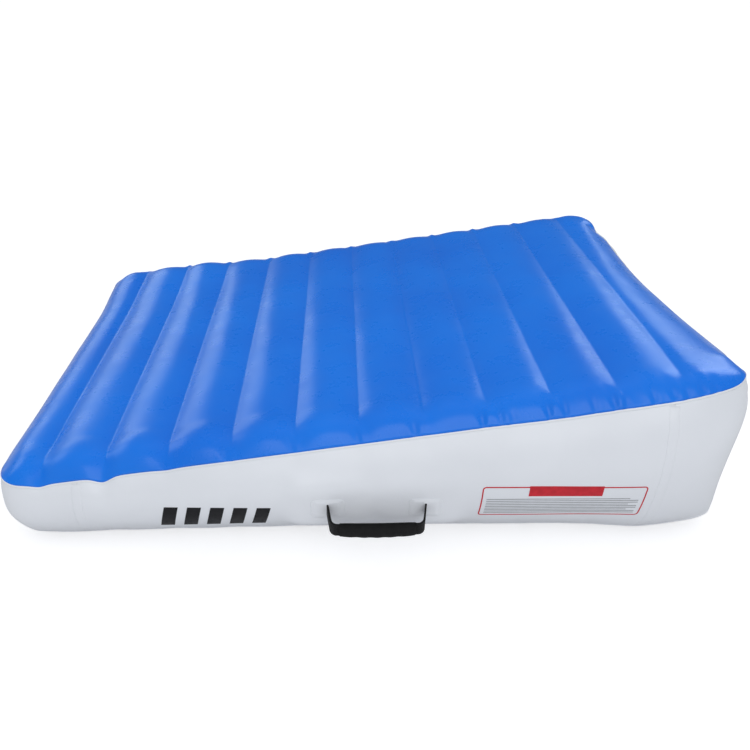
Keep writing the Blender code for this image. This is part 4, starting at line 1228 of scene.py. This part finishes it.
world = bpy.data.worlds.new("studio")
bpy.context.scene.world = world
world.use_nodes = True
wt = world.node_tree
bg = wt.nodes["Background"]
bg.inputs[0].default_value = (0.95, 0.97, 1.0, 1)
path = wt.nodes.new("ShaderNodeLightPath")
level = wt.nodes.new("ShaderNodeMapRange")
level.inputs["To Min"].default_value = 0.78
level.inputs["To Max"].default_value = 0.10
wt.links.new(path.outputs["Is Glossy Ray"], level.inputs["Value"])
seen = wt.nodes.new("ShaderNodeMath")
seen.operation = "MAXIMUM"
wt.links.new(level.outputs["Result"], seen.inputs[0])
lit = wt.nodes.new("ShaderNodeMath")
lit.operation = "MULTIPLY"
lit.inputs[1].default_value = 1.10
wt.links.new(path.outputs["Is Camera Ray"], lit.inputs[0])
wt.links.new(lit.outputs[0], seen.inputs[1])
wt.links.new(seen.outputs[0], bg.inputs[1])


def area(name, loc, target, size, energy, colour=(1, 1, 1)):
    light = bpy.data.lights.new(name, "AREA")
    light.shape = "RECTANGLE"
    light.size, light.size_y = size
    light.energy = energy
    light.color = colour
    obj = bpy.data.objects.new(name, light)
    bpy.context.scene.collection.objects.link(obj)
    obj.location = loc
    obj.rotation_euler = (Vector(target) - Vector(loc)).to_track_quat("-Z", "Y").to_euler()
    return obj


left = area("panel_back_left", (-3.35, 3.6, 1.80), (-0.4, -0.1, 0.3), (2.9, 1.8), 25, (0.86, 1.0, 1.0))
right = area("panel_back_right", (3.8, 4.4, 3.0), (0.6, 0.0, 0.45), (2.0, 1.6), 21, (0.86, 1.0, 1.0))
edge = area("panel_side", (3.5, 1.5, 3.0), (0.5, -0.6, 0.4), (2.2, 1.5), 40, (0.90, 1.0, 1.0))
low = area("panel_left", (-4.0, 0.8, 2.2), (-0.6, -0.3, 0.25), (2.0, 1.6), 14, (0.86, 1.0, 1.0))
for panel in (left, right, edge, low):
    panel.visible_diffuse = False
area("top_soft", (0.2, 0.6, 4.2), (0, 0, 0.2), (3.5, 3.5), 18).visible_glossy = False
area("front_fill", (0.4, -4.2, 2.6), (0, 0, 0.2), (4.0, 2.5), 34)

cam = bpy.data.cameras.new("camera")
cam.sensor_width = 36.0
cam.lens = 36.0 * 664.5 / 750.0
cam_obj = bpy.data.objects.new("camera", cam)
bpy.context.scene.collection.objects.link(cam_obj)
yaw, pitch, roll = math.radians(3.734), math.radians(32.719), math.radians(1.869)
fw = Vector((math.sin(yaw) * math.cos(pitch), math.cos(yaw) * math.cos(pitch), -math.sin(pitch)))
rt = Vector((math.cos(yaw), -math.sin(yaw), 0))
up_ = rt.cross(fw)
r2 = rt * math.cos(roll) + up_ * math.sin(roll)
u2 = -rt * math.sin(roll) + up_ * math.cos(roll)
EYE = Vector((-0.1026 + 0.004, -1.9629, 1.3929))
cam_obj.matrix_world = Matrix(((r2.x, u2.x, -fw.x, EYE.x), (r2.y, u2.y, -fw.y, EYE.y),
                               (r2.z, u2.z, -fw.z, EYE.z), (0, 0, 0, 1)))
bpy.context.scene.camera = cam_obj
bpy.context.scene.view_settings.view_transform = "Standard"
bpy.context.scene.view_settings.exposure = 0.0
